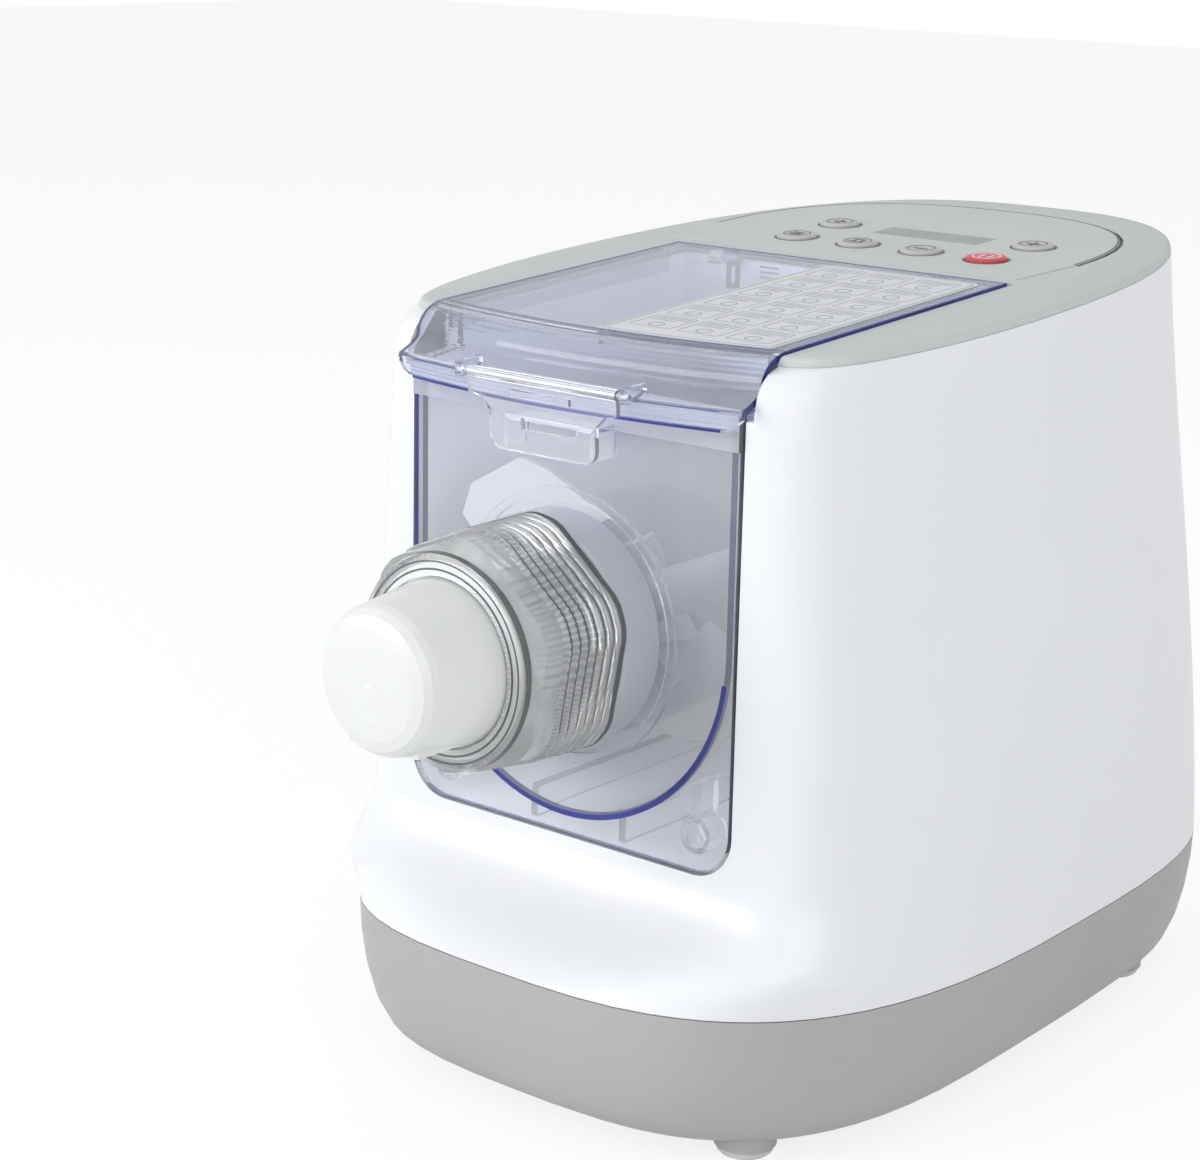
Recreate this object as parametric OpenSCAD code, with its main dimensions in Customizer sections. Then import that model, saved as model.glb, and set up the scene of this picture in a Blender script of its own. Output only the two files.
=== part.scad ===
// Electric pasta maker: a moulded housing with a slide-in mixing tub, an extrusion barrel
// with a screw-on clamp nut, and a motor with a two-stage gear train behind the tub.
// +X is to the right seen from the front, -Y is the front, +Z is up.
// The origin is under the middle of the whole machine, on the table.
// Inside the modules y = 0 is the front plate's face; placed() moves it to the origin.

/* [Housing] */
// Width of the housing at the seam
body_w = 238; // [228:1:250]
// Width of the housing across its top
top_w = 214; // [208:1:220]
// Front plate to the back of the housing at the seam
body_back = 318; // [312:1:335]
// Front plate to the back of the housing at the top
top_back = 308; // [302:1:320]
// How far the lower front stands in front of the front plate
chin_reach = 37; // [30:1:45]
// Height of the top surface above the table at the front plate
top_front_z = 276; // [274:1:282]
// Rise of the top surface for each millimetre towards the back
top_slope = 0.06; // [0.04:0.005:0.07]
// Height of the seam at the front
seam_front_z = 61; // [55:1:65]
// Height of the seam along the sides and back
seam_side_z = 52; // [46:1:54]
// Wall of the housing and of the base tray
shell_wall = 2.6; // [2.2:0.1:3]
// Width of the front face left and right of the opening, measured to the corner
wing_w = 18; // [15:1:20]

/* [Base] */
// Width of the base tray at its lower edge
base_w = 218; // [210:1:224]
// How far the lower edge of the tray stands in front of the front plate
base_reach = 17; // [12:1:22]
// Height of the lower edge of the tray
skirt_z = 8; // [7:0.5:10]
// Thickness of the tray's floor
floor_t = 3; // [2.5:0.5:4]
// Distance between the front feet
front_feet_w = 146; // [136:1:150]
// Distance between the rear feet
rear_feet_w = 184; // [176:1:188]
// Thickness of a foot pad
pad_h = 3; // [2.5:0.5:4]

/* [Mixing tub] */
// Height of the mixing axis above the table
axis_z = 176.5; // [175:0.5:180]
// Outer radius of the tub's round bottom
tub_r = 69; // [67:0.5:70]
// Wall of the tub
tub_wall = 2.5; // [2:0.1:3]
// Back face of the tub, behind the front plate
tub_back = 149.5; // [146:0.5:150]
// Gap between the tub and the lining beside it
tub_gap = 3.3; // [3:0.1:3.6]
// Drop from the tub's bottom to the floor of the lining
tub_drop = 7.5; // [6:0.5:9]
// Wall of the lining
liner_wall = 2.6; // [2.2:0.1:3]
// Inner face of the lining's back wall
liner_back = 156; // [155:0.5:158]
// Thickness of the front plate
plate_t = 3; // [2.5:0.5:4]

/* [Lid] */
// Thickness of the lid's plates
lid_t = 2.4; // [2:0.1:3]
// How far the lid's apron bows forward in the middle
lid_bow = 8; // [6:1:10]
// Length of the apron from crease to lip
apron_len = 23; // [21:1:25]
// Height of the apron from crease to lip
apron_drop = 15; // [13:1:17]
// Height of the upright lip under the apron
apron_lip = 7; // [5:0.5:9]
// How far the lid's plate stands above the top surface
lid_proud = 1; // [0.5:0.1:1.5]

/* [Outlet] */
// Front face of the outlet head, in front of the front plate
head_reach = 97; // [92:1:102]
// Radius of the outlet head at its front
head_r = 24.5; // [23:0.5:26]
// Radius of the outlet head where it leaves the nut
head_root_r = 28.4; // [27.5:0.1:28.6]
// Inner radius of the extrusion barrel
barrel_bore_r = 26; // [25:0.5:26.5]
// Outer radius of the extrusion barrel
barrel_r = 33; // [32.5:0.1:33.4]
// Radius of the collar behind the nut
collar_r = 41; // [39:0.5:42]
// Length of the collar
collar_len = 19; // [17:1:21]
// Front end of the barrel, in front of the front plate
barrel_reach = 56; // [55:0.5:58]
// Distance from the axis to a flat of the nut at its back
nut_r = 39.2; // [38.8:0.1:40]
// Number of flats round the nut
nut_sides = 6; // [6:1:10]
// Height of a rounded corner above the flats
corner_h = 3.2; // [2:0.2:4]
// Height of a ridge
ridge_h = 1.2; // [1:0.1:1.6]
// Number of ridges along the nut
nut_ridges = 7; // [5:1:7]

/* [Stirring] */
// Radius that the farthest corners of the paddle blades sweep
paddle_r = 64; // [58:0.5:64]
// Width of a paddle blade at its tip
blade_tip_w = 38; // [30:1:40]
// Width of a paddle blade at its root
blade_root_w = 48; // [40:1:50]
// Distance that a blade's tip is swept to the side of its root
blade_sweep = 10; // [4:1:12]
// Radius of the paddle's hub
hub_r = 9; // [8.5:0.5:10]
// Outer radius of the auger screw
auger_r = 24.5; // [23.5:0.1:24.6]
// Lead of the auger screw
auger_lead = 20; // [18:1:25]
// Width across the corners of the hexagonal coupling
hex_d = 11; // [10:0.5:12]

/* [Drive] */
// Tooth size of the output stage
out_module = 1.5; // [1.4, 1.5]
// Teeth of the output gear
out_teeth = 60; // [57, 58, 59, 60, 61]
// Teeth of the small intermediate gear
mid_small_teeth = 15; // [14, 15, 16]
// Tooth size of the motor stage
in_module = 1; // [1, 1.05]
// Teeth of the large intermediate gear
mid_large_teeth = 50; // [49, 50, 51, 52]
// Teeth of the motor pinion
pinion_teeth = 12; // [12, 13]
// Radius of the motor
motor_r = 38; // [36:0.5:39]
// Length of the motor
motor_len = 76; // [70:1:80]

/* [Controls] */
// Radius of a button
button_r = 8; // [7:0.5:8.5]
// Travel of a button
button_travel = 1; // [0.8:0.1:1.2]
// Distance between the buttons of the front row
button_pitch = 29; // [27:0.5:30]
// Front plate to the front row of buttons
button_row_y = 190; // [188:1:194]
// Front plate to the middle of the display and the rear pair
display_y = 222; // [219:1:226]
// Width of the display
display_w = 48; // [44:1:52]
// Depth of the display
display_d = 15; // [12:1:16]

/* [Hidden] */

// Colours
WHITE = [0.95, 0.95, 0.97];
BASE_GREY = [0.68, 0.67, 0.67];
TOP_GREY = [0.82, 0.84, 0.82];
PANEL_GREY = [0.86, 0.86, 0.84];
CLEAR = [0.72, 0.76, 0.92, 0.45];
MILKY = [0.96, 0.96, 0.94];
STEEL = [0.62, 0.64, 0.66];

// Running and seat clearances
seat = 0.3;
slide_gap = 0.6;
shaft_gap = 0.05;

// The seam of the housing and the plan stations that shape it
seam_gap = 0.4;
chin_y = -chin_reach;
seam_mid_y = 125;
top_mid_y = 122;
shell_top_gap = 3.1;
panel_t = 3;
top_angle = atan(top_slope);
bbox_mid_y = (body_back - head_reach) / 2;

// The cavity that holds the tub
cav_x = tub_r + tub_gap;
cav_z = axis_z - tub_r - tub_drop;
liner_x = cav_x + liner_wall;
opening_x = liner_x + seat;
plate_x = cav_x - 1.3;
plate_z = cav_z + 1.3;
plate_top_z = top_front_z - 17;
cavity_corner = 16;

// The lid, in the frame of the sloping top
lid_x = cav_x + liner_wall + seat - slide_gap;
lid_under = lid_proud - lid_t;
knuckle_r = 2.4;
hinge_pin_r = 1.2;
hinge_y = tub_back + knuckle_r + 0.4;
hinge_z = lid_under - 0.4 - knuckle_r;
lid_back = hinge_y + 1.5;
opening_back = hinge_y + norm([1.5, lid_proud - hinge_z]) + 0.4;
ear_x = lid_x - 24.6;
ear_w = 6;
apron_r = (lid_x * lid_x + lid_bow * lid_bow) / (2 * lid_bow);
crease_side_y = 18;
chin_side_y = 12;
lip_z = lid_proud - apron_drop - apron_lip;
apron_mid_y = crease_side_y - lid_bow + apron_r;
apron_front_y = crease_side_y - lid_bow - apron_len;
latch_y = apron_front_y - 2.6;
latch_z = lid_proud - apron_drop + 1;
latch_x = 33;

// The gear train
out_pitch_r = out_module * out_teeth / 2;
mid_small_r = out_module * mid_small_teeth / 2;
mid_large_r = in_module * mid_large_teeth / 2;
pinion_r = in_module * pinion_teeth / 2;
out_centre = out_pitch_r + mid_small_r;
in_centre = mid_large_r + pinion_r;
mid_x = -0.968 * in_centre;
mid_z = axis_z - sqrt(out_centre * out_centre - mid_x * mid_x);
motor_z = mid_z - sqrt(in_centre * in_centre - mid_x * mid_x);
gearbox_front = liner_back + liner_wall;
gearbox_wall = 3;
gearbox_depth = 38;
gearbox_back = gearbox_front + gearbox_depth;
motor_front = gearbox_back + gearbox_wall;
motor_back = motor_front + motor_len;
fan_y = motor_back + 4;
drive_r = 6;
rotor_r = 3;
mid_axle_r = 4;
out_gear_y = gearbox_front + gearbox_wall + 4;
out_gear_w = 10;
mid_large_y = out_gear_y + out_gear_w + 3;
mid_large_w = 7;

// Plan curves use this many points, closer together near the corners
plan_points = 72;

// ---- Shared functions ----

// Places a module's own frame in the machine's frame
module placed() { translate([0, -bbox_mid_y, 0]) children(); }

// Turns a shape drawn in XY and raised along Z so that it is raised along +Y
module along_y(y = 0) { translate([0, y, 0]) rotate([-90, 0, 0]) mirror([0, 1, 0]) children(); }

// The frame of the sloping top surface: x and y in the surface, z out of it
module on_top(x = 0, y = 0, z = 0) {
  translate([0, 0, top_front_z]) rotate([top_angle, 0, 0]) translate([x, y, z]) children();
}

// Height of the top surface and of the seam at a distance behind the front plate
function top_z(y) = top_front_z + top_slope * y;
function seam_z(y) =
  let(s = min(1, max(0, (seam_mid_y - y) / (seam_mid_y + chin_reach))))
  seam_side_z + (seam_front_z - seam_side_z) * pow(s, 1.3);
function smooth(t) = let(s = min(1, max(0, t))) s * s * (3 - 2 * s);
function mix(a, b, t) = a + (b - a) * t;

// Direction of plan point i: steps are finer near the corners of each quarter
function plan_angle(i) =
  let(m = plan_points / 4, k = floor(i / m), s = 2 * (i - k * m) / m - 1)
  90 * k + 45 + 45 * (0.5 * s + 0.5 * s * s * s);

// One point of a plan curve with rounded corners and sides that narrow to the front and back.
// p = [half width, front, back, middle, front squareness, back squareness, narrowing f, b]
function plan_point(a, p) =
  let(c = cos(a), s = sin(a), n = s < 0 ? p[4] : p[5],
      r = pow(pow(abs(c), n) + pow(abs(s), n), -1 / n),
      v = r * s, d = s < 0 ? p[3] - p[1] : p[2] - p[3])
  [r * c * (p[0] - (s < 0 ? p[6] : p[7]) * v * v), p[3] + v * d];
function plan_ring(p) = [for (i = [0:plan_points - 1]) plan_point(plan_angle(i), p)];

// The same plan curve moved inwards
function plan_inset(p, w) = [p[0] - w, p[1] + w, p[2] - w, p[3], p[4], p[5], p[6], p[7]];

// A closed solid through a list of rings, either capped or joined end to end
module loft(rings, capped = true) {
  n = len(rings[0]);
  m = len(rings);
  points = [for (ring = rings) for (q = ring) q];
  sides = [for (j = [0:m - (capped ? 2 : 1)]) for (i = [0:n - 1])
    let(a = j * n + i, b = j * n + (i + 1) % n, k = (j + 1) % m,
        d = k * n + i, c = k * n + (i + 1) % n)
    each [[a, d, c], [a, c, b]]];
  caps = capped ? [[for (i = [0:n - 1]) i], [for (i = [n - 1:-1:0]) (m - 1) * n + i]] : [];
  polyhedron(points = points, faces = concat(sides, caps), convexity = 8);
}

// ---- Housing ----

// Plan of the housing at height t, from 0 at the seam to 1 at the top
function housing_plan(t) =
  let(flat = smooth(t / 0.2), edge = min(1, max(0, (t - 0.94) / 0.06)))
  [mix(body_w / 2, top_w / 2, pow(t, 1.5)),
   chin_profile(t) + chin_side_y * (1 - sqrt(1 - edge * edge)),
   mix(body_back, top_back, t),
   mix(seam_mid_y, top_mid_y, flat),
   mix(3, 12, flat), mix(3.8, 2.8, smooth(t)),
   mix(0, wing_w - 1, flat), mix(0, 8, t)];

// Front of the housing: a shelf below the opening that sweeps forward to the seam
function chin_profile(t) =
  let(s = min(1, t / chin_t))
  chin_y * (0.45 * (1 - s) + 0.55 * (1 - smooth(s * 1.25)));
chin_t = (cav_z - 3 - seam_front_z) / (top_front_z - seam_front_z);

function housing_ring(t, inset) =
  [for (q = plan_ring(plan_inset(housing_plan(t), inset)))
    [q[0], q[1], mix(seam_z(q[1]) + seam_gap, top_z(q[1]) - shell_top_gap, t)]];

outer_steps = [0, 0.03, 0.06, 0.09, 0.12, 0.145, 0.17, 0.2, 0.3, 0.45, 0.6, 0.75, 0.87, 0.94,
               0.965, 0.982, 0.993, 1];
inner_steps = [1, 0.94, 0.75, 0.45, 0.2, 0.15, 0.1, 0.05, 0];

module opening_outline(grow = 0) {
  r = cavity_corner + grow;
  x = cav_x + grow;
  hull() {
    for (s = [-1, 1]) translate([s * (x - r), cav_z - grow + r]) circle(r, $fn = 48);
    translate([-x, cav_z + 60]) square([2 * x, top_front_z]);
  }
}

// Room for the sides of the lid's apron, where they dip below the top at the front
module lid_relief() {
  depth = apron_drop + 4;
  on_top(-opening_x, -20, -depth) cube([2 * opening_x, 20 + crease_side_y + 2, 2 * depth]);
}

module body_shell() {
  color(WHITE) placed() difference() {
    loft(concat([for (t = outer_steps) housing_ring(t, 0)],
                [for (t = inner_steps) housing_ring(t, shell_wall)]), capped = false);
    along_y(chin_y - 1) linear_extrude(60 + chin_reach) opening_outline();
    lid_relief();
  }
}

// ---- Base ----

// Plan of the base tray at height t, from 0 at its lower edge to 1 at the seam
function tray_plan(t) =
  let(bow = sqrt(1 - (1 - t) * (1 - t)))
  [mix(base_w / 2, body_w / 2, bow), mix(-base_reach, chin_y, bow),
   mix(body_back - 14, body_back, bow), seam_mid_y, 3, 3.8, 0, 0];
function tray_ring(t, inset, lift) =
  [for (q = plan_ring(plan_inset(tray_plan(t), inset)))
    [q[0], q[1], mix(skirt_z + lift, seam_z(q[1]), t)]];

lug_r = 11;
foot_points = [for (s = [-1, 1]) each [[s * front_feet_w / 2, 13], [s * rear_feet_w / 2, 238]]];
gland_r = 7;
gland_z = 30;
gland_rim = 1.5;
gland_back = body_back - 1;

module base_tray() {
  lug_top = skirt_z + floor_t;
  vent_y = motor_front + 14;
  color(BASE_GREY) placed() difference() {
    union() {
      loft(concat([for (t = [0, 0.1, 0.25, 0.5, 0.75, 1]) tray_ring(t, 0, 0)],
                  [for (t = [1, 0.5, 0.1, 0]) tray_ring(t, shell_wall, floor_t)]));
      for (p = foot_points) translate([p[0], p[1], pad_h])
        cylinder(h = lug_top - pad_h - 0.5, r = lug_r, $fn = 48);
    }
    for (k = [-3:3]) translate([k * 9 - 2, vent_y, 0]) cube([4, 50, skirt_z + floor_t + 1]);
    for (p = leg_points) translate([p[0], p[1], 0]) {
      cylinder(h = skirt_z + floor_t + 1, r = screw_r + 0.2, $fn = 24);
      cylinder(h = skirt_z + 0.8, r = screw_head_r + 0.4, $fn = 24);
    }
    along_y(body_back - 20) translate([0, gland_z]) cylinder(h = 30, r = gland_r + shaft_gap, $fn = 48);
    along_y(gland_back - gland_rim) translate([0, gland_z])
      cylinder(h = 10, r = gland_r + 2 + shaft_gap, $fn = 48);
  }
}

module foot_pads() {
  color([0.75, 0.75, 0.76]) placed()
    for (p = foot_points) translate([p[0], p[1], 0]) {
      cylinder(h = 0.8, r1 = lug_r - 2, r2 = lug_r - 1.2, $fn = 48);
      translate([0, 0, 0.8]) cylinder(h = pad_h - 0.8, r = lug_r - 1.2, $fn = 48);
    }
}

module cord_gland() {
  bore_r = 3.5;
  color([0.3, 0.3, 0.32]) placed() along_y() translate([0, gland_z]) difference() {
    union() {
      translate([0, 0, body_back - 9]) cylinder(h = 8, r = gland_r, $fn = 48);
      translate([0, 0, gland_back - gland_rim]) cylinder(h = gland_rim, r = gland_r + 2, $fn = 48);
    }
    translate([0, 0, body_back - 10]) cylinder(h = 20, r = bore_r, $fn = 48);
  }
}

// ---- Top ----

// Plan of the top panel, a little inside the housing's top edge
function panel_ring(dz, inset) =
  [for (q = plan_ring(plan_inset(housing_plan(1), 0.3 + inset))) [q[0], q[1], top_z(q[1]) + dz]];

// Rear outline of the control area, drawn in the plane of the top
arc_x = 83;
arc_back = 287;
arc_mid_x = -7;
arc_mid_y = 200;
function arc_point(a, grow) =
  let(n = 2.5, c = cos(a), s = sin(a),
      r = pow(pow(abs(c), n) + pow(abs(s), n), -1 / n))
  [arc_mid_x + r * c * (arc_x + grow), arc_mid_y + r * s * (arc_back - arc_mid_y + grow)];
function arc_points(grow) = [for (a = [0:7.5:180]) arc_point(a, grow)];

button_places = [
  [-1.5 * button_pitch, button_row_y], [-0.5 * button_pitch, button_row_y],
  [0.5 * button_pitch, button_row_y], [1.5 * button_pitch, button_row_y],
  [-1.55 * button_pitch, display_y], [1.55 * button_pitch, display_y]
];
overlay_t = 0.4;
overlay_front = opening_back + 6;

module button_holes(r, depth) {
  for (p = button_places) on_top(p[0], p[1], -depth)
    cylinder(h = 2 * depth, r = r, $fn = 48);
}

module top_panel() {
  hollow = 12;
  color(TOP_GREY) placed() difference() {
    union() {
      loft([panel_ring(-panel_t, 0), panel_ring(-1.6, 0), panel_ring(-0.7, 0.35),
            panel_ring(-0.2, 1), panel_ring(0, 2)]);
      for (p = board_posts) on_top(p[0], p[1], -board_depth)
        cylinder(h = board_depth - panel_t + 0.5, r = 3, $fn = 32);
    }
    on_top(-opening_x, -20, -hollow) cube([2 * opening_x, 20 + opening_back, 2 * hollow]);
    button_holes(button_r + seat, 8);
    on_top(-display_w / 2 - 0.2, display_y - display_d / 2 - 0.2, -8)
      cube([display_w + 0.4, display_d + 0.4, 16]);
    on_top(0, 0, -0.7) linear_extrude(2) difference() {
      polygon(arc_points(1.3));
      polygon(concat(arc_points(0.1), [[arc_mid_x - arc_x - 2, arc_mid_y - 1],
                                       [arc_mid_x + arc_x + 2, arc_mid_y - 1]]));
    }
  }
}

module control_overlay() {
  color(PANEL_GREY) placed() difference() {
    on_top(0, 0, 0.01) linear_extrude(overlay_t)
      polygon(concat(arc_points(0), [[arc_mid_x - arc_x + 4, overlay_front],
                                     [arc_mid_x + arc_x - 4, overlay_front]]));
    button_holes(button_r + seat, 8);
    on_top(-display_w / 2 - 0.2, display_y - display_d / 2 - 0.2, -8)
      cube([display_w + 0.4, display_d + 0.4, 16]);
  }
}

module display_window() {
  color([0.62, 0.66, 0.62]) placed() on_top(0, display_y, -2.4)
    translate([-display_w / 2, -display_d / 2]) cube([display_w, display_d, 2.4 + overlay_t]);
}

// The control board hangs under the top panel on posts
board_depth = 12;
board_t = 1.6;
board_top = -board_depth;
board_w = 3.1 * button_pitch + 46;
board_front = button_row_y - 18;
board_len = display_y - button_row_y + 48;
board_post_in = 6;
board_posts = [for (s = [-1, 1]) each [[s * (board_w / 2 - board_post_in), board_front + board_post_in],
  [s * (board_w / 2 - board_post_in), board_front + board_len - board_post_in]]];

module control_board() {
  color([0.16, 0.36, 0.2]) placed()
    on_top(-board_w / 2, board_front, board_top - board_t) cube([board_w, board_len, board_t]);
}

module display_module() {
  w = display_w + 4;
  d = display_d + 6;
  color([0.25, 0.25, 0.26]) placed()
    on_top(-w / 2, display_y - d / 2, board_top) cube([w, d, board_depth - panel_t - seat]);
}

switch_h = 4;
module tact_switches() {
  color([0.2, 0.2, 0.2]) placed() for (p = button_places) on_top(p[0], p[1], board_top) {
    translate([-3, -3, 0]) cube([6, 6, switch_h - 1]);
    translate([0, 0, switch_h - 1]) cylinder(h = 1, r = 1.7, $fn = 24);
  }
}

// A domed push button whose stem reaches down to its switch
module button_cap(place, tint) {
  flange_z = -panel_t - button_travel - 1.2;
  stem_z = board_top + switch_h + button_travel + seat;
  color(tint) placed() on_top(place[0], place[1], 0) rotate_extrude($fn = 48)
    polygon([[0, stem_z], [2.5, stem_z], [2.5, flange_z], [button_r + 1.6, flange_z],
             [button_r + 1.6, flange_z + 1], [button_r, flange_z + 1], [button_r, 1.1],
             [button_r - 0.5, 1.7], [button_r - 1.6, 2], [button_r - 4, 1.8], [0, 1.6]]);
}
BUTTON_GREY = [0.8, 0.8, 0.79];
module button_menu() { button_cap(button_places[0], BUTTON_GREY); }
module button_weight() { button_cap(button_places[1], BUTTON_GREY); }
module button_minus() { button_cap(button_places[2], BUTTON_GREY); }
module button_start() { button_cap(button_places[3], [0.85, 0.3, 0.3]); }
module button_mix() { button_cap(button_places[4], BUTTON_GREY); }
module button_plus() { button_cap(button_places[5], BUTTON_GREY); }

// ---- Cavity ----

screw_r = 2;
screw_head_r = 4;
screw_len = 22;
leg_r = 5.5;
leg_points = [for (s = [-1, 1]) each [[s * 56, 24], [s * 56, 140]]];
liner_front = shell_wall + 1.8;
liner_drop = 5.4;

module liner_outline(x, z) {
  r = cavity_corner + x - cav_x;
  hull() {
    for (s = [-1, 1]) translate([s * (x - r), z + r]) circle(r, $fn = 48);
    translate([-x, z + 60]) square([2 * x, 300]);
  }
}

module cavity_liner() {
  color(WHITE) placed() difference() {
    union() {
      difference() {
        along_y(liner_front) linear_extrude(gearbox_front - liner_front)
          liner_outline(liner_x, cav_z - liner_wall);
        along_y(liner_front - 1) linear_extrude(liner_back - liner_front + 1)
          liner_outline(cav_x, cav_z);
      }
      for (p = leg_points) translate([p[0], p[1], skirt_z + floor_t])
        cylinder(h = cav_z - skirt_z - floor_t - 1, r = leg_r, $fn = 32);
    }
    on_top(-100, -20, -liner_drop) cube([200, 240, 400]);
    lid_relief();
    along_y(liner_back - 1) translate([0, axis_z]) cylinder(h = 10, r = seal_r, $fn = 64);
    for (p = leg_points) translate([p[0], p[1], 0])
      cylinder(h = skirt_z + screw_len + 4, r = screw_r, $fn = 24);
  }
}

module base_screws() {
  color(STEEL) placed() for (p = leg_points) translate([p[0], p[1], 0]) {
    translate([0, 0, skirt_z - 1.8]) cylinder(h = 2.6, r = screw_head_r, $fn = 32);
    translate([0, 0, skirt_z + 0.5]) cylinder(h = screw_len, r = screw_r - 0.05, $fn = 32);
  }
}

module interlock_switch() {
  color([0.2, 0.2, 0.22]) placed() on_top(ear_x - 10, gearbox_front + 0.2, -22) {
    cube([20, 6.5, 12]);
    translate([4, 0, 12]) cube([3, 6, 2.5]);
  }
}

// ---- Gearbox and motor ----

bearing_r = 11;
seal_r = 12;
boss_r = 14.5;
mid_boss_r = 8;

// A gear outline with straight-flanked teeth, one of them centred on angle turn
module gear_outline(size, teeth, turn) {
  pitch_r = size * teeth / 2;
  root_r = pitch_r - 1.25 * size;
  tip_r = pitch_r + 0.9 * size;
  half = 90 / teeth * 0.86;
  lean = tan(20) * size * 180 / PI;
  polygon([for (i = [0:teeth - 1]) let(a = turn + i * 360 / teeth)
    each [[root_r * cos(a - half - 1.1 * lean / root_r), root_r * sin(a - half - 1.1 * lean / root_r)],
          [tip_r * cos(a - half + lean / tip_r), tip_r * sin(a - half + lean / tip_r)],
          [tip_r * cos(a + half - lean / tip_r), tip_r * sin(a + half - lean / tip_r)],
          [root_r * cos(a + half + 1.1 * lean / root_r), root_r * sin(a + half + 1.1 * lean / root_r)]]]);
}

// Directions from the output gear to the intermediate gear and on to the motor
out_turn = atan2(mid_z - axis_z, mid_x);
in_turn = atan2(motor_z - mid_z, -mid_x);

module gearbox_outline(grow) {
  hull() {
    translate([0, axis_z]) circle(out_pitch_r + 5 + grow, $fn = 96);
    translate([mid_x, mid_z]) circle(mid_large_r + 5 + grow, $fn = 72);
    translate([0, motor_z]) circle(17 + grow, $fn = 48);
  }
}

gearbox_screw_points = concat(
  [for (a = [-20, 35, 90, 145]) [(out_pitch_r + 5) * cos(a), axis_z + (out_pitch_r + 5) * sin(a)]],
  [[mid_x + (mid_large_r + 5) * cos(200), mid_z + (mid_large_r + 5) * sin(200)]]);

module gearbox_housing() {
  color([0.85, 0.85, 0.86]) placed() difference() {
    union() {
      along_y(gearbox_front) linear_extrude(gearbox_wall) gearbox_outline(gearbox_wall);
      along_y(gearbox_front) linear_extrude(gearbox_depth) difference() {
        gearbox_outline(gearbox_wall);
        gearbox_outline(0);
      }
      along_y(gearbox_front) translate([0, axis_z]) cylinder(h = 6.5, r = boss_r, $fn = 64);
      along_y(gearbox_front) translate([mid_x, mid_z])
        cylinder(h = 6.5, r = mid_boss_r, $fn = 48);
    }
    along_y(gearbox_front - 1) translate([0, axis_z])
      cylinder(h = 10, r = bearing_r + shaft_gap, $fn = 64);
    along_y(gearbox_front + 2) translate([mid_x, mid_z])
      cylinder(h = 10, r = mid_axle_r + shaft_gap, $fn = 48);
  }
}

module gearbox_cover() {
  color([0.8, 0.8, 0.82]) placed() difference() {
    union() {
      along_y(gearbox_back) linear_extrude(gearbox_wall) gearbox_outline(gearbox_wall);
      along_y(gearbox_back - 4) translate([0, axis_z]) cylinder(h = 5, r = boss_r, $fn = 64);
      along_y(gearbox_back - 4) translate([mid_x, mid_z]) cylinder(h = 5, r = mid_boss_r, $fn = 48);
    }
    along_y(gearbox_back - 5) translate([0, axis_z])
      cylinder(h = 7, r = bearing_r + shaft_gap, $fn = 64);
    along_y(gearbox_back - 5) translate([mid_x, mid_z])
      cylinder(h = 7, r = mid_axle_r + shaft_gap, $fn = 48);
    along_y(gearbox_back - 1) translate([0, motor_z]) cylinder(h = 10, r = pinion_r + 3, $fn = 48);
  }
}

module gearbox_screws() {
  color(STEEL) placed() along_y(gearbox_back + gearbox_wall) for (p = gearbox_screw_points)
    translate(p) cylinder(h = 2, r = 3, $fn = 32);
}

module bearing(y, width) {
  color(STEEL) placed() along_y(y) translate([0, axis_z]) difference() {
    cylinder(h = width, r = bearing_r, $fn = 64);
    translate([0, 0, -1]) cylinder(h = width + 2, r = drive_r + shaft_gap, $fn = 64);
    for (z = [-1, width - 0.6]) translate([0, 0, z]) difference() {
      cylinder(h = 1.6, r = bearing_r - 1.6, $fn = 64);
      cylinder(h = 1.6, r = drive_r + 1.6, $fn = 64);
    }
  }
}
module front_bearing() { bearing(gearbox_front + 0.3, 6); }
module rear_bearing() { bearing(gearbox_back - 4, 6); }

module shaft_seal() {
  color([0.25, 0.25, 0.25]) placed() along_y(liner_back) translate([0, axis_z]) difference() {
    cylinder(h = liner_wall, r = seal_r - shaft_gap, $fn = 64);
    translate([0, 0, -1]) cylinder(h = liner_wall + 2, r = drive_r + shaft_gap, $fn = 64);
  }
}

module mid_axle() {
  color(STEEL) placed() along_y(gearbox_front + 2.2) translate([mid_x, mid_z])
    cylinder(h = gearbox_depth - 0.6, r = mid_axle_r, $fn = 48);
}

module output_gear() {
  color([0.9, 0.88, 0.8]) placed() along_y(out_gear_y) translate([0, axis_z]) difference() {
    union() {
      linear_extrude(out_gear_w) gear_outline(out_module, out_teeth, out_turn);
      cylinder(h = out_gear_w + 4, r = 12, $fn = 64);
    }
    translate([0, 0, -1]) cylinder(h = 20, r = drive_r + shaft_gap, $fn = 64);
    for (z = [-4, out_gear_w - 3]) translate([0, 0, z]) difference() {
      cylinder(h = 7, r = out_pitch_r - 6, $fn = 96);
      cylinder(h = 7, r = 14, $fn = 64);
    }
  }
}

// Both rows of teeth are one piece; each row starts in mesh with its neighbour
module intermediate_gear() {
  small_turn = out_turn + 180 + 180 / mid_small_teeth;
  large_turn = in_turn;
  color([0.88, 0.86, 0.78]) placed() difference() {
    union() {
      along_y(out_gear_y) translate([mid_x, mid_z])
        linear_extrude(mid_large_y - out_gear_y) gear_outline(out_module, mid_small_teeth, small_turn);
      along_y(mid_large_y) translate([mid_x, mid_z])
        linear_extrude(mid_large_w) gear_outline(in_module, mid_large_teeth, large_turn);
      along_y(mid_large_y + mid_large_w) translate([mid_x, mid_z])
        cylinder(h = gearbox_back - 4.4 - mid_large_y - mid_large_w, r = 7, $fn = 48);
    }
    along_y(gearbox_front) translate([mid_x, mid_z])
      cylinder(h = gearbox_depth + 4, r = mid_axle_r + shaft_gap, $fn = 48);
  }
}

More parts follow.
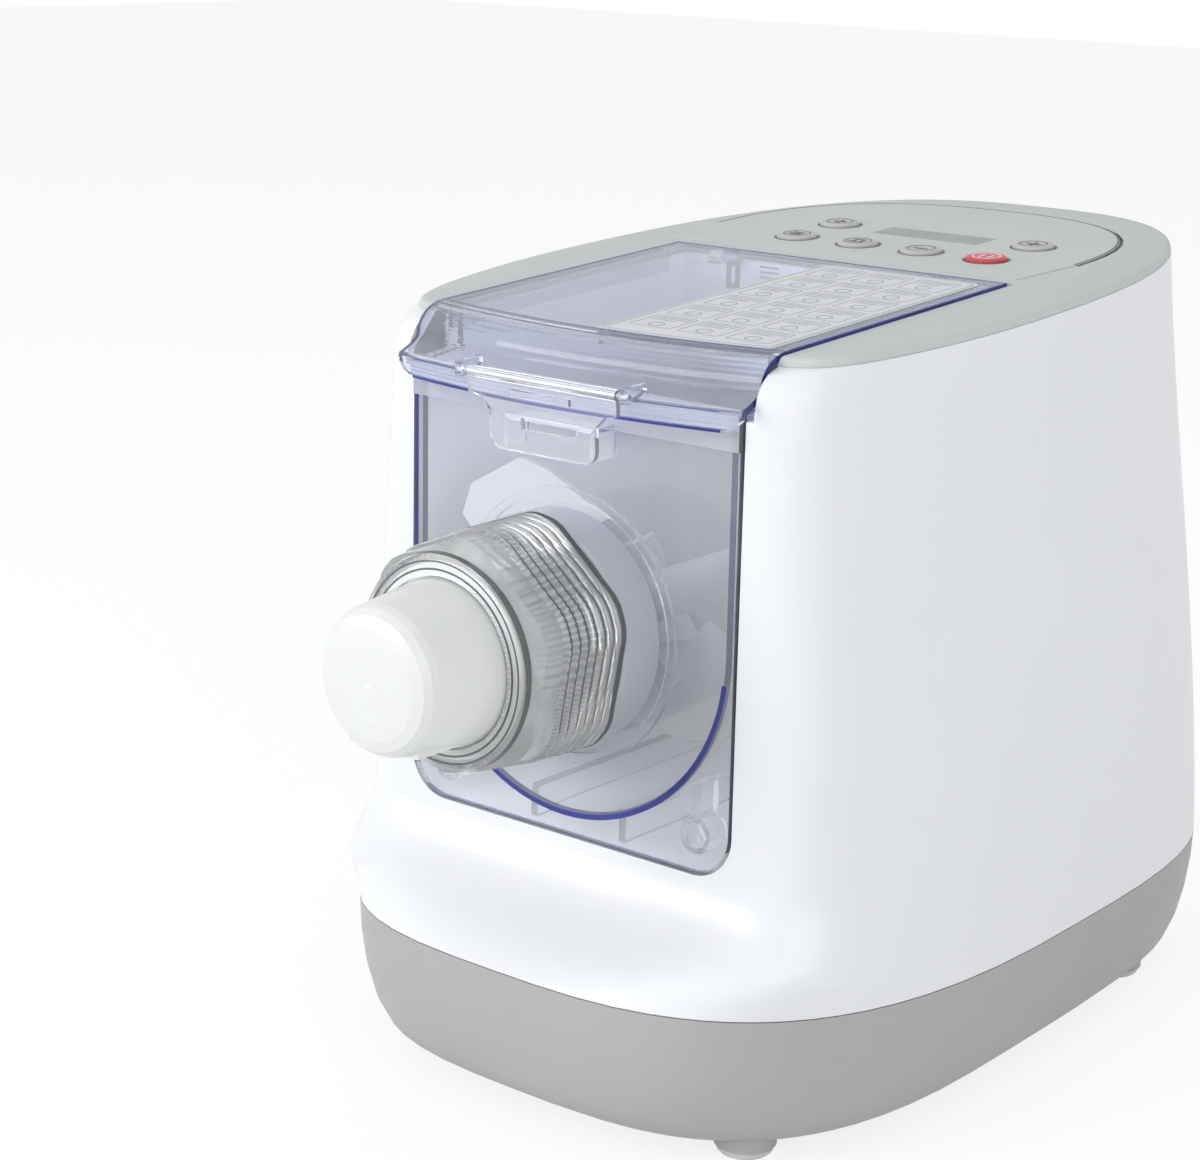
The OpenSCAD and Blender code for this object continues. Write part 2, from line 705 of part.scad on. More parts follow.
module drive_shaft() {
  hex_front = tub_back - 13;
  color(STEEL) placed() {
    along_y(hex_front) translate([0, axis_z]) cylinder(h = 18, r = hex_d / 2, $fn = 6);
    along_y(hex_front + 17.5) translate([0, axis_z])
      cylinder(h = gearbox_back + 1.5 - hex_front - 17.5, r = drive_r, $fn = 64);
  }
}

module motor_can() {
  color([0.55, 0.57, 0.6]) placed() along_y() translate([0, motor_z]) difference() {
    translate([0, 0, motor_front]) cylinder(h = motor_len - 3, r = motor_r, $fn = 96);
    translate([0, 0, motor_front + 3]) cylinder(h = motor_len, r = motor_r - 12, $fn = 96);
    translate([0, 0, motor_front + 3]) cylinder(h = 9, r = motor_r - 3, $fn = 96);
    translate([0, 0, motor_back - 15]) cylinder(h = 20, r = motor_r - 3, $fn = 96);
    translate([0, 0, motor_front - 1]) cylinder(h = 5, r = 9 + shaft_gap, $fn = 48);
  }
}

module motor_front_bush() {
  color([0.72, 0.6, 0.35]) placed() along_y(motor_front) translate([0, motor_z]) difference() {
    cylinder(h = 5, r = 9, $fn = 48);
    translate([0, 0, -1]) cylinder(h = 7, r = rotor_r + shaft_gap, $fn = 48);
  }
}

module motor_rear_cap() {
  color([0.3, 0.3, 0.32]) placed() along_y(motor_back - 3) translate([0, motor_z]) difference() {
    cylinder(h = 3, r = motor_r, $fn = 96);
    translate([0, 0, -1]) cylinder(h = 5, r = rotor_r + shaft_gap, $fn = 48);
    for (a = [0:60:300]) rotate(a) translate([22, 0, -1]) cylinder(h = 5, r = 5, $fn = 32);
  }
}

module motor_rotor() {
  core_r = motor_r - 13;
  color(STEEL) placed() along_y() translate([0, motor_z]) {
    translate([0, 0, mid_large_y - 1.5])
      cylinder(h = fan_y + 7 - mid_large_y, r = rotor_r, $fn = 48);
    translate([0, 0, motor_front + 16]) cylinder(h = motor_len - 36, r = core_r, $fn = 72);
    translate([0, 0, motor_back - 17]) cylinder(h = 9, r = 10, $fn = 48);
  }
}

module motor_pinion() {
  turn = in_turn + 180 + 180 / pinion_teeth;
  color([0.72, 0.6, 0.35]) placed() along_y(mid_large_y - 1) translate([0, motor_z]) difference() {
    linear_extrude(mid_large_w + 2) gear_outline(in_module, pinion_teeth, turn);
    translate([0, 0, -1]) cylinder(h = 12, r = rotor_r + shaft_gap, $fn = 48);
  }
}

module cooling_fan() {
  color([0.2, 0.22, 0.25]) placed() along_y(fan_y) translate([0, motor_z]) difference() {
    union() {
      cylinder(h = 7, r = 8, $fn = 48);
      for (a = [0:45:315]) rotate(a) translate([6, 0, 3.5]) rotate([35, 0, 0])
        translate([0, -4, -0.7]) cube([24, 8, 1.4]);
    }
    translate([0, 0, -1]) cylinder(h = 10, r = rotor_r + shaft_gap, $fn = 48);
  }
}

module motor_cradle() {
  floor_z = skirt_z + floor_t;
  half = 34;
  color([0.6, 0.62, 0.64]) placed() difference() {
    union() {
      for (y = [motor_front + 8, motor_back - 20]) translate([-half, y, floor_z])
        cube([2 * half, 5, motor_z - 12 - floor_z]);
      for (s = [-1, 1]) translate([s * (half - 2.5) - 2.5, motor_front + 8, floor_z])
        cube([5, motor_len - 23, 5]);
    }
    along_y(motor_front) translate([0, motor_z]) cylinder(h = motor_len, r = motor_r + 0.2, $fn = 96);
  }
}

// A board on four spacers with a transformer, a capacitor, a heat sink and a relay
module power_board() {
  w = 90;
  len = 96;
  spacer_h = 8;
  spacer_in = 5.5;
  top = spacer_h + board_t;
  color([0.16, 0.36, 0.2]) placed() translate([0, 34, skirt_z + floor_t]) {
    translate([-w / 2, 0, spacer_h]) cube([w, len, board_t]);
    for (s = [-1, 1]) for (y = [spacer_in, len - spacer_in])
      translate([s * (w / 2 - spacer_in), y, 0]) cylinder(h = spacer_h + 0.2, r = 3, $fn = 24);
    translate([-w / 3, len / 8, top]) cube([w / 3.2, len / 4, 26]);
    translate([w / 7.5, len / 4.4, top]) cylinder(h = 24, r = 9, $fn = 32);
    translate([w / 22, 0.6 * len, top]) cube([w / 3.5, 4, 22]);
    translate([-w / 2.8, 0.56 * len, top]) cube([w / 5, len / 4.8, 14]);
  }
}

// ---- Mixing tub ----

// Round-bottomed outline of the tub, open at the top
module tub_outline(r) {
  translate([0, axis_z]) circle(r, $fn = 128);
  translate([-r, axis_z]) square([2 * r, 130]);
}

module mixing_tub() {
  front = plate_t;
  ear_len = hinge_y - tub_back + 1;
  color(CLEAR) placed() difference() {
    union() {
      difference() {
        along_y(front) linear_extrude(tub_back - front) tub_outline(tub_r);
        along_y(front - 1) linear_extrude(tub_back - tub_wall - front + 1)
          tub_outline(tub_r - tub_wall);
        on_top(-100, -30, lid_under - seat) cube([200, 220, 150]);
        on_top(-100, -30, plate_top_z - top_front_z - 1) cube([200, 30 + crease_side_y + 2, 150]);
      }
      for (s = [-1, 1]) translate([s * 20 - 1.5, front + 6, cav_z + seat])
        cube([3, tub_back - front - 12, tub_drop + 5]);
      for (s = [-1, 1]) on_top(s * (ear_x + ear_w / 2 + 0.3) - ear_w / 2, hinge_y, hinge_z)
        rotate([0, 90, 0]) cylinder(h = ear_w, r = knuckle_r, $fn = 48);
      for (s = [-1, 1]) on_top(s * (ear_x + ear_w / 2 + 0.3) - ear_w / 2, hinge_y - ear_len, hinge_z)
        translate([0, 0, -knuckle_r]) cube([ear_w, ear_len, 2 * knuckle_r]);
    }
    along_y(front - 1) linear_extrude(tub_back - tub_wall - front + 1) intersection() {
      tub_outline(tub_r - tub_wall);
      translate([-40, axis_z - tub_r]) square([80, tub_r]);
    }
    on_top(-70, hinge_y, hinge_z) rotate([0, 90, 0])
      cylinder(h = 140, r = hinge_pin_r + shaft_gap, $fn = 32);
    along_y(tub_back - 6) translate([0, axis_z]) cylinder(h = 10, r = bush_r, $fn = 64);
  }
}

bush_r = hub_r + 3;
module tub_bush() {
  color(MILKY) placed() along_y() translate([0, axis_z]) difference() {
    union() {
      translate([0, 0, tub_back - tub_wall - 1.5]) cylinder(h = 1.5, r = bush_r + 3, $fn = 64);
      translate([0, 0, tub_back - tub_wall - 1]) cylinder(h = tub_wall + 2.5, r = bush_r - shaft_gap, $fn = 64);
    }
    translate([0, 0, tub_back - 10]) cylinder(h = 20, r = hub_r + shaft_gap, $fn = 64);
  }
}

module lid_pins() {
  color(STEEL) placed() for (s = [-1, 1])
    on_top(s > 0 ? ear_x - ear_w : -ear_x - ear_w - 0.3, hinge_y, hinge_z)
      rotate([0, 90, 0]) cylinder(h = 2 * ear_w + 0.3, r = hinge_pin_r, $fn = 32);
}

// The clear front of the tub: a flat plate with a thicker top edge, a catch for the lid's latch,
// a raised ring round the barrel and two bosses low in its corners
module front_plate() {
  boss_post_r = 6.5;
  rib_w = 4.4;
  boss_len = 10;
  boss_x = plate_x - 15;
  boss_z = plate_z + 12;
  rib_top = axis_z - sqrt(tub_r * tub_r - pow(boss_x - rib_w / 2, 2)) - 2;
  rim_h = 12;
  ring_r = collar_r + 7;
  catch_x = 20;
  catch_z = plate_top_z - 12;
  catch_reach = -latch_y - 5;
  color(CLEAR) placed() difference() {
    union() {
      along_y(0) linear_extrude(plate_t) plate_outline();
      translate([-plate_x, -1, plate_top_z - rim_h]) cube([2 * plate_x, 1.2, rim_h]);
      along_y(-2) translate([0, axis_z]) difference() {
        cylinder(h = 2.5, r = ring_r, $fn = 96);
        translate([0, 0, -1]) cylinder(h = 2.6, r = ring_r - 3, $fn = 96);
      }
      translate([-catch_x, -catch_reach, catch_z]) cube([2 * catch_x, catch_reach + 0.5, 2]);
      for (s = [-1, 1]) translate([s * (catch_x - 1) - 1, -catch_reach, catch_z - 9])
        cube([2, catch_reach + 0.5, 10]);
      for (s = [-1, 1]) {
        along_y(plate_t - 0.5) translate([s * boss_x, boss_z])
          cylinder(h = boss_len, r = boss_post_r, $fn = 48);
        translate([s * boss_x - rib_w / 2, plate_t - 0.5, boss_z]) cube([rib_w, boss_len, rib_top - boss_z]);
      }
    }
    along_y(-20) translate([0, axis_z]) cylinder(h = 40, r = spigot_r + shaft_gap, $fn = 96);
    for (s = [-1, 1]) translate([s * boss_x, 0, boss_z]) {
      along_y(plate_t) cylinder(h = boss_len + 1, r = boss_post_r - 2, $fn = 48);
      along_y(-1) cylinder(h = 2, r = 2.6, $fn = 32);
    }
  }
}

module plate_outline() {
  hull() {
    for (s = [-1, 1]) translate([s * (plate_x - cavity_corner + 1), plate_z + cavity_corner - 1])
      circle(cavity_corner - 1, $fn = 48);
    translate([-plate_x, plate_z + 60]) square([2 * plate_x, plate_top_z - plate_z - 60]);
  }
}

// ---- Extrusion ----

spigot_r = barrel_r + 3;
module extrusion_barrel() {
  color(CLEAR) placed() along_y() translate([0, axis_z]) rotate_extrude($fn = 96) polygon([
    [barrel_bore_r, -barrel_reach], [barrel_r - 1, -barrel_reach], [barrel_r, 1 - barrel_reach],
    [barrel_r, -collar_len], [collar_r - 1, -collar_len], [collar_r, 1 - collar_len],
    [collar_r, -1.05], [spigot_r, -1.05], [spigot_r, plate_t + 1], [barrel_bore_r, plate_t + 1]
  ]);
}

// One turn-by-turn slice of the auger: a round core carrying a single rounded flight
module auger_section() {
  core_r = 8;
  steps = 24;
  polygon([for (i = [0:steps - 1]) let(
      a = 360 * i / steps,
      flight = pow(max(0, cos(min(a, 360 - a) * 1.15)), 3),
      r = core_r + (auger_r - core_r) * min(1, 1.25 * flight))
    [r * cos(a), r * sin(a)]]);
}

hub_front = 22;
module auger_screw() {
  front = -barrel_reach + 5;
  length = hub_front - 0.2 - front;
  turns = length / auger_lead;
  color(MILKY) placed() along_y(front) translate([0, axis_z])
    linear_extrude(length, twist = -360 * turns, slices = round(16 * turns)) auger_section();
}

// A flat swept blade standing off the hub at an angle round the shaft, pitched like an oar
module blade(turn, y, inner, pitch) {
  thick = 3.5;
  corner = 8;
  lead = blade_sweep + blade_tip_w / 2;
  trail = blade_sweep - blade_tip_w / 2;
  tip = sqrt(pow(paddle_r, 2) - pow(lead - corner, 2));
  along_y(y) translate([0, axis_z]) rotate(turn) rotate([pitch, 0, 0])
    translate([0, 0, -thick / 2]) linear_extrude(thick) polygon([
      [inner, -blade_root_w / 2], [tip - corner, trail], [tip, trail + corner],
      [tip, lead - corner], [tip - corner, lead], [inner, blade_root_w / 2]
    ]);
}

// Arm from the hub to a front blade, which turns round the auger's end
module blade_arm(turn, y) {
  arm_w = 10;
  arm_t = 5;
  reach = auger_r + 12;
  stem = auger_r + 4;
  y0 = hub_front + 0.3;
  along_y(y0) translate([0, axis_z]) rotate(turn) translate([4, -arm_w / 2, 0])
    cube([reach - 4, arm_w, arm_t]);
  along_y(min(y, y0)) translate([0, axis_z]) rotate(turn) translate([stem, -arm_w / 2, 0])
    cube([reach - stem, arm_w, y0 + arm_t - min(y, y0)]);
}

module stirring_paddle() {
  first_turn = 122;
  second_turn = 322;
  rear_turn = 190;
  first_y = plate_t + 9.5;
  second_y = plate_t + 23;
  clear_auger = auger_r + 2.5;
  root = hub_r - 3;
  color(MILKY) placed() difference() {
    union() {
      along_y(hub_front) translate([0, axis_z]) cylinder(h = tub_back + 3 - hub_front, r = hub_r, $fn = 64);
      blade(first_turn, first_y, clear_auger, -12);
      blade_arm(first_turn, first_y);
      blade(second_turn, second_y, clear_auger, 30);
      blade_arm(second_turn, second_y);
      blade(rear_turn, 70, root, 30);
      blade(rear_turn + 180, tub_back - 28, root, 30);
    }
    along_y(tub_back - 14) translate([0, axis_z]) cylinder(h = 30, r = hex_d / 2 + seat, $fn = 6);
  }
}

// The head: a milky cone with a domed, closed front and an outlet in its underside
outlet_x = 15;
outlet_back = -head_reach + 27;
outlet_front = -head_reach + 7;
module outlet_head() {
  wall = 2.4;
  lip = -barrel_reach - 0.8;
  front = -head_reach;
  color(MILKY) placed() difference() {
    along_y() translate([0, axis_z]) rotate_extrude($fn = 96) polygon([
      [head_root_r - wall, lip], [barrel_r - 0.6, lip], [barrel_r - 0.6, lip - 3.2],
      [head_root_r, lip - 3.2], [head_r + 0.6, front + 7], [head_r - 0.4, front + 4.4],
      [head_r - 2.4, front + 2.2], [head_r - 6, front + 0.9], [head_r - 12, front + 0.2], [0, front],
      [0, front + wall], [head_r - 7, front + wall + 1], [head_r - wall - 1, front + 7]
    ]);
    translate([-outlet_x - 0.1, outlet_front - 0.1, axis_z - 40])
      cube([2 * outlet_x + 0.2, outlet_back - outlet_front + 0.2, 40]);
  }
}

// Die plate in the head's outlet: a grid of round holes for noodles
module shaping_die() {
  die_z = axis_z - head_r + 1.4;
  hole_r = 1.3;
  color([0.9, 0.9, 0.88]) placed() difference() {
    translate([-outlet_x, outlet_front, die_z]) cube([2 * outlet_x, outlet_back - outlet_front, 3]);
    for (i = [-3:3]) for (j = [0:3])
      translate([i * 4, (outlet_front + outlet_back) / 2 + (j - 1.5) * 4.4, die_z - 1])
        cylinder(h = 5, r = hole_r, $fn = 20);
  }
}

module head_seal() {
  color([0.8, 0.8, 0.78]) placed() along_y(-barrel_reach - 0.75) translate([0, axis_z]) difference() {
    cylinder(h = 0.7, r = barrel_r - 1.2, $fn = 64);
    translate([0, 0, -1]) cylinder(h = 3, r = barrel_bore_r + 0.5, $fn = 64);
  }
}

// Clamp nut: rounded corners and flats like a hand wheel, with sharp ridges round it, over a
// smooth front rim
nut_front = -barrel_reach - 7.5;
nut_back = -collar_len - 0.4;
nut_band = 15;
nut_turn = 20;
function nut_edge(a, flat, corner) =
  let(pitch = 360 / nut_sides, from_flat = (a - nut_turn + 360) % pitch - pitch / 2)
  min(flat + corner, flat / cos(from_flat));
function nut_ring(flat, corner, y) =
  [for (i = [0:plan_points - 1]) let(a = 360 * i / plan_points, r = nut_edge(a, flat, corner))
    [r * cos(a), y, axis_z + r * sin(a)]];
module clamp_nut() {
  ridge_start = nut_front + nut_band;
  step = (nut_back - ridge_start - 1) / nut_ridges;
  band_r = nut_r - 1.4;
  rim_r = nut_r - 2.6;
  profile = concat(
    [[rim_r - 2, 0, nut_front], [rim_r - 0.6, 0, nut_front + 0.7], [rim_r, 0, nut_front + 2.4],
     [rim_r - 1.4, 0, nut_front + 3.6], [rim_r - 1.4, 0, nut_front + 4.6],
     [band_r - 0.8, corner_h, nut_front + 7], [band_r, corner_h, ridge_start - 1]],
    [for (i = [0:nut_ridges - 1]) let(y = ridge_start + i * step, flat = mix(band_r, nut_r, i / nut_ridges))
      each [[flat, corner_h, y], [flat + ridge_h, corner_h, y + 0.3 * step],
            [flat + ridge_h, corner_h, y + 0.5 * step], [flat, corner_h, y + 0.8 * step]]],
    [[nut_r + ridge_h, corner_h, nut_back - 0.8], [nut_r + ridge_h - 0.6, corner_h, nut_back]]);
  color(CLEAR) placed() difference() {
    loft([for (p = profile) nut_ring(p[0], p[1], p[2])]);
    along_y(nut_front + 3.2) translate([0, axis_z]) cylinder(h = 80, r = barrel_r + 0.4, $fn = 96);
    along_y(nut_front - 1) translate([0, axis_z]) cylinder(h = 6, r = head_root_r + 0.5, $fn = 96);
  }
}

// ---- Lid ----

// The apron in section: a round crown down to a knee, and a flare from there to the lip. Each
// point comes with the way the curve runs there; the whole is revolved about a far axis to bow it.
apron_steps = 8;
knee_y = 0.59 * apron_len;
knee_z = 0.67 * apron_drop;
crown = [for (i = [0:apron_steps]) let(a = 90 * i / apron_steps)
  [[knee_y * sin(a), knee_z * (cos(a) - 1)], [knee_y * cos(a), -knee_z * sin(a)]]];
function bend(u, a, b, c) = [
  pow(1 - u, 2) * a + 2 * u * (1 - u) * b + pow(u, 2) * c, 2 * (1 - u) * (b - a) + 2 * u * (c - b)];
flare = [for (i = [1:apron_steps])
  bend(i / apron_steps, [knee_y, -knee_z], [knee_y + 1, -knee_z - 2.2], [apron_len, -apron_drop])];
apron_section = concat(crown, flare);
function apron_outer(p) = [apron_r, lid_proud] + p[0];
function apron_inner(p) = apron_outer(p) + lid_t * [p[1][1], -p[1][0]] / norm(p[1]);

module lid_apron() {
  half_angle = asin(lid_x / apron_r) + 1;
  outer = [for (p = apron_section) apron_outer(p)];
  inner = [for (i = [len(apron_section) - 2:-1:0]) apron_inner(apron_section[i])];
  on_top(0, apron_mid_y, 0) rotate(-90 - half_angle) rotate_extrude(angle = 2 * half_angle, $fn = 720)
    polygon(concat(
      [[apron_r - 2, lid_proud]], outer,
      [[apron_r + apron_len, lip_z], [apron_r + apron_len - lid_t, lip_z]],
      inner, [[apron_r - 2, lid_under]]));
  for (k = [0:3]) on_top(0, apron_mid_y, lip_z + 1.6 + 1.4 * k) rotate(-90 - half_angle)
    rotate_extrude(angle = 2 * half_angle, $fn = 720) translate([apron_r + apron_len - 0.3, -0.5])
      square([0.7, 0.8]);
}

// What is cut away outside the lid's sides and below its round lower corners
module lid_sides() {
  corner_r = apron_lip;
  for (s = [-1, 1]) {
    on_top(s * (lid_x + 20) - 20, -60, -50) cube([40, 150, 100]);
    on_top(s * (lid_x - corner_r), apron_front_y - 10, lip_z + corner_r) difference() {
      translate([s > 0 ? 0 : -corner_r - 1, 0, -corner_r - 1]) cube([corner_r + 1, 24, corner_r + 1]);
      translate([0, -1, 0]) rotate([-90, 0, 0]) cylinder(h = 26, r = corner_r + 0.05, $fn = 64);
    }
  }
}

module lid() {
  skirt_x = tub_r + slide_gap;
  skirt_w = 1.8;
  skirt_drop = 8;
  color(CLEAR) placed() difference() {
    union() {
      on_top(0, 0, lid_under) linear_extrude(lid_t) difference() {
        translate([-lid_x, 0]) square([2 * lid_x, lid_back]);
        translate([0, apron_mid_y]) difference() {
          circle(apron_r + 60, $fn = 720);
          circle(apron_r - 1, $fn = 720);
        }
      }
      difference() {
        lid_apron();
        lid_sides();
      }
      for (s = [-1, 1]) on_top(s * (skirt_x + skirt_w / 2) - skirt_w / 2, 18, lid_under - skirt_drop)
        cube([skirt_w, hinge_y - 30, skirt_drop + 0.5]);
      on_top(-1, 16, lid_under - 3) cube([2, hinge_y - 26, 3.5]);
      for (s = [-1, 1]) on_top(s * (ear_x - ear_w / 2) - ear_w / 2, hinge_y, hinge_z) {
        rotate([0, 90, 0]) cylinder(h = ear_w, r = knuckle_r, $fn = 48);
        translate([0, -knuckle_r, 0]) cube([ear_w, 2 * knuckle_r - 1.5, lid_under - hinge_z + 0.5]);
      }
      for (s = [-1, 1]) on_top(s * (latch_x + 2.5) - 1.5, latch_y - 2, latch_z - 2)
        cube([3, 11, 5]);
    }
    on_top(-60, hinge_y, hinge_z) rotate([0, 90, 0])
      cylinder(h = 120, r = hinge_pin_r + shaft_gap, $fn = 32);
    on_top(-60, latch_y, latch_z) rotate([0, 90, 0])
      cylinder(h = 120, r = latch_pin_r + shaft_gap, $fn = 32);
  }
}

latch_pin_r = 0.9;
// A flap that hangs from its pin in front of the lip and the catch, with a window and a finger rib
module lid_latch() {
  thick = 2;
  bar_x = latch_x - 0.8;
  flap_x = 23;
  flap_drop = 25;
  corner = 5;
  bend = [for (a = [0:22.5:90]) [flap_x - corner + corner * sin(a), -flap_drop + corner - corner * cos(a)]];
  right = concat(bend, [[flap_x, -12], [flap_x + 4, -8], [bar_x, -7], [bar_x, 0]]);
  left = [for (i = [len(right) - 1:-1:0]) [-right[i][0], right[i][1]]];
  color(CLEAR) placed() difference() {
    union() {
      on_top(-bar_x, latch_y, latch_z) rotate([0, 90, 0]) cylinder(h = 2 * bar_x, r = 2, $fn = 32);
      on_top(0, latch_y - thick / 2, latch_z) rotate([90, 0, 0]) translate([0, 0, -thick])
        linear_extrude(thick) polygon(concat(right, left));
      on_top(-13, latch_y - thick / 2 - 1.2, latch_z - 6) cube([26, 1.7, 2.4]);
    }
    on_top(-60, latch_y, latch_z) rotate([0, 90, 0])
      cylinder(h = 120, r = latch_pin_r + shaft_gap, $fn = 32);
    on_top(-9, latch_y - 10, latch_z - 17) cube([24, 20, 4]);
  }
}

module latch_pin() {
  color(STEEL) placed() on_top(-latch_x - 3.8, latch_y, latch_z) rotate([0, 90, 0])
    cylinder(h = 2 * latch_x + 7.6, r = latch_pin_r, $fn = 32);
}

body_shell();
base_tray();
foot_pads();
top_panel();
control_overlay();
display_window();
display_module();
control_board();
tact_switches();
button_menu();
button_weight();
button_minus();
button_start();
button_mix();
button_plus();
cavity_liner();
base_screws();
power_board();
cord_gland();
interlock_switch();
gearbox_housing();
gearbox_cover();
gearbox_screws();
front_bearing();
rear_bearing();
shaft_seal();
mid_axle();
motor_can();
motor_front_bush();
motor_rear_cap();
motor_cradle();
motor_rotor();
motor_pinion();
cooling_fan();
intermediate_gear();
output_gear();
drive_shaft();
mixing_tub();
front_plate();
extrusion_barrel();
tub_bush();
lid_pins();
stirring_paddle();
auger_screw();
outlet_head();
shaping_die();
head_seal();
clamp_nut();
lid();
lid_latch();
latch_pin();
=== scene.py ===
"""Looks of the electric pasta maker: camera, studio, materials and the thin surface details.

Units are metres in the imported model's frame: +X right seen from the front, -Y the front, +Z up.
"""
import math

import bpy
from mathutils import Matrix, Vector


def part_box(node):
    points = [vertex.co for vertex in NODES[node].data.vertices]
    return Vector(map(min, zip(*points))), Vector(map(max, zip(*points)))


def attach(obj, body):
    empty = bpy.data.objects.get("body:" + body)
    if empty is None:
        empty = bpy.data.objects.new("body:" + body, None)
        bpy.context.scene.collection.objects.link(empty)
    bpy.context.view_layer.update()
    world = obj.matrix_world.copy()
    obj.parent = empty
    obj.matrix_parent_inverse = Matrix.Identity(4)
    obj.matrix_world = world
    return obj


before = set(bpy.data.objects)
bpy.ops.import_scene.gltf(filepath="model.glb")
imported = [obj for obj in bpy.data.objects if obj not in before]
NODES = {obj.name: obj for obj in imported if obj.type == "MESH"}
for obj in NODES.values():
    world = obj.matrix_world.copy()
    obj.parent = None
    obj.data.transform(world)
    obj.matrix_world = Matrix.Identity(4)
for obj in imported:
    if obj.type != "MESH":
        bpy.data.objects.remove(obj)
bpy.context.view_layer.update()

MM = 0.001

# ---- Camera: the photograph's viewpoint ----
CAMERA_PLACE = Vector((0.5612, -0.7814, 0.4245))
CAMERA_AZIMUTH = math.radians(38.37)
CAMERA_ELEVATION = math.radians(14.33)
CAMERA_ROLL = math.radians(1.33)
CAMERA_LENS = 79.8
CAMERA_SENSOR = 36.0
CAMERA_SHIFT = (-0.0312, -0.0203)
CAMERA_CLIP = (0.05, 50)

# ---- The sloping top: where it starts above the front plate's face, and how steep it is ----
FRONT_Y = -0.1105
TOP_FRONT_Z = 0.276
TOP_SLOPE = 0.06

# ---- In the frame of the top: how far the lid and the control overlay stand proud ----
LID_TOP = 1 * MM
OVERLAY_TOP = 0.4 * MM

# ---- In the frame of the top: the circle of the lid's bowed front crease ----
CREASE_R = 0.3518
CREASE_MID_Y = 0.3618

# ---- In the frame of the top: the rounded rear outline of the control area, half a superellipse ----
ARC_MIDDLE = (-0.007, 0.200)
ARC_REACH = (0.083, 0.087)
ARC_POWER = 2.5


# ---------------------------------------------------------------- helpers

def top_frame():
    """Frame of the sloping top: x right, y up the slope from the front plate's face, z out of it."""
    slope = math.atan(TOP_SLOPE)
    return Matrix.Translation((0, FRONT_Y, TOP_FRONT_Z)) @ Matrix.Rotation(slope, 4, "X")


def upright(y, z=0.0):
    """Frame of an upright face that looks forward: x right, y up, z towards the front."""
    return Matrix.Translation((0, y, z)) @ Matrix.Rotation(math.pi / 2, 4, "X")


def crease_y(x):
    """Where the lid's bowed front crease runs, in the frame of the top."""
    return CREASE_MID_Y - math.sqrt(CREASE_R * CREASE_R - x * x)


def mesh_piece(name, points, faces, material, body):
    """A mesh object in the model's frame that rides on a body."""
    mesh = bpy.data.meshes.new(name)
    mesh.from_pydata([tuple(p) for p in points], [], faces)
    mesh.update()
    piece = bpy.data.objects.new(name, mesh)
    bpy.context.scene.collection.objects.link(piece)
    mesh.materials.append(material)
    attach(piece, body)
    return piece


def slab(outline, low, high, place):
    """Points and faces of a flat outline raised from low to high, in a placed frame."""
    n = len(outline)
    points = [place @ Vector((x, y, z)) for z in (low, high) for x, y in outline]
    faces = [list(range(n - 1, -1, -1)), list(range(n, 2 * n))]
    faces += [[i, (i + 1) % n, n + (i + 1) % n, n + i] for i in range(n)]
    return points, faces


def rectangle(x0, y0, x1, y1):
    """Outline of a rectangle, counter-clockwise."""
    return [(x0, y0), (x1, y0), (x1, y1), (x0, y1)]


def rounded_box(x0, y0, x1, y1, radius, steps=6):
    """Outline of a rectangle with round corners, counter-clockwise."""
    outline = []
    corners = [(x1 - radius, y0 + radius, -90), (x1 - radius, y1 - radius, 0),
               (x0 + radius, y1 - radius, 90), (x0 + radius, y0 + radius, 180)]
    for cx, cy, start in corners:
        for i in range(steps + 1):
            angle = math.radians(start + 90 * i / steps)
            outline.append((cx + radius * math.cos(angle), cy + radius * math.sin(angle)))
    return outline


def circle(r, steps=40):
    """Outline of a circle, counter-clockwise."""
    angles = [2 * math.pi * i / steps for i in range(steps)]
    return [(r * math.cos(angle), r * math.sin(angle)) for angle in angles]


def frame_slab(outer, inner, low, high, place):
    """A flat frame between two outlines with the same number of points, raised from low to high."""
    n = len(outer)
    points = [place @ Vector((x, y, z)) for z in (low, high) for ring in (outer, inner) for x, y in ring]
    faces = []
    for i in range(n):
        j = (i + 1) % n
        faces.append([2 * n + i, 2 * n + j, 3 * n + j, 3 * n + i])
        faces.append([j, i, n + i, n + j])
        faces.append([i, j, 2 * n + j, 2 * n + i])
        faces.append([n + j, n + i, 3 * n + i, 3 * n + j])
    return points, faces


def join_slabs(slabs):
    """Several slabs as one set of points and faces."""
    points, faces = [], []
    for some_points, some_faces in slabs:
        offset = len(points)
        points += some_points
        faces += [[i + offset for i in face] for face in some_faces]
    return points, faces


# ---------------------------------------------------------------- materials

def new_material(name):
    """A node material with its Principled shader, returned as (material, nodes, links, shader)."""
    material = bpy.data.materials.new(name)
    material.use_nodes = True
    nodes, links = material.node_tree.nodes, material.node_tree.links
    shader = nodes["Principled BSDF"]
    return material, nodes, links, shader


def noise(nodes, links, coordinates, scale, detail=3.0):
    """Noise over the object's own coordinates."""
    texture = nodes.new("ShaderNodeTexNoise")
    texture.inputs["Scale"].default_value = scale
    texture.inputs["Detail"].default_value = detail
    links.new(coordinates.outputs["Object"], texture.inputs["Vector"])
    return texture.outputs["Fac"]


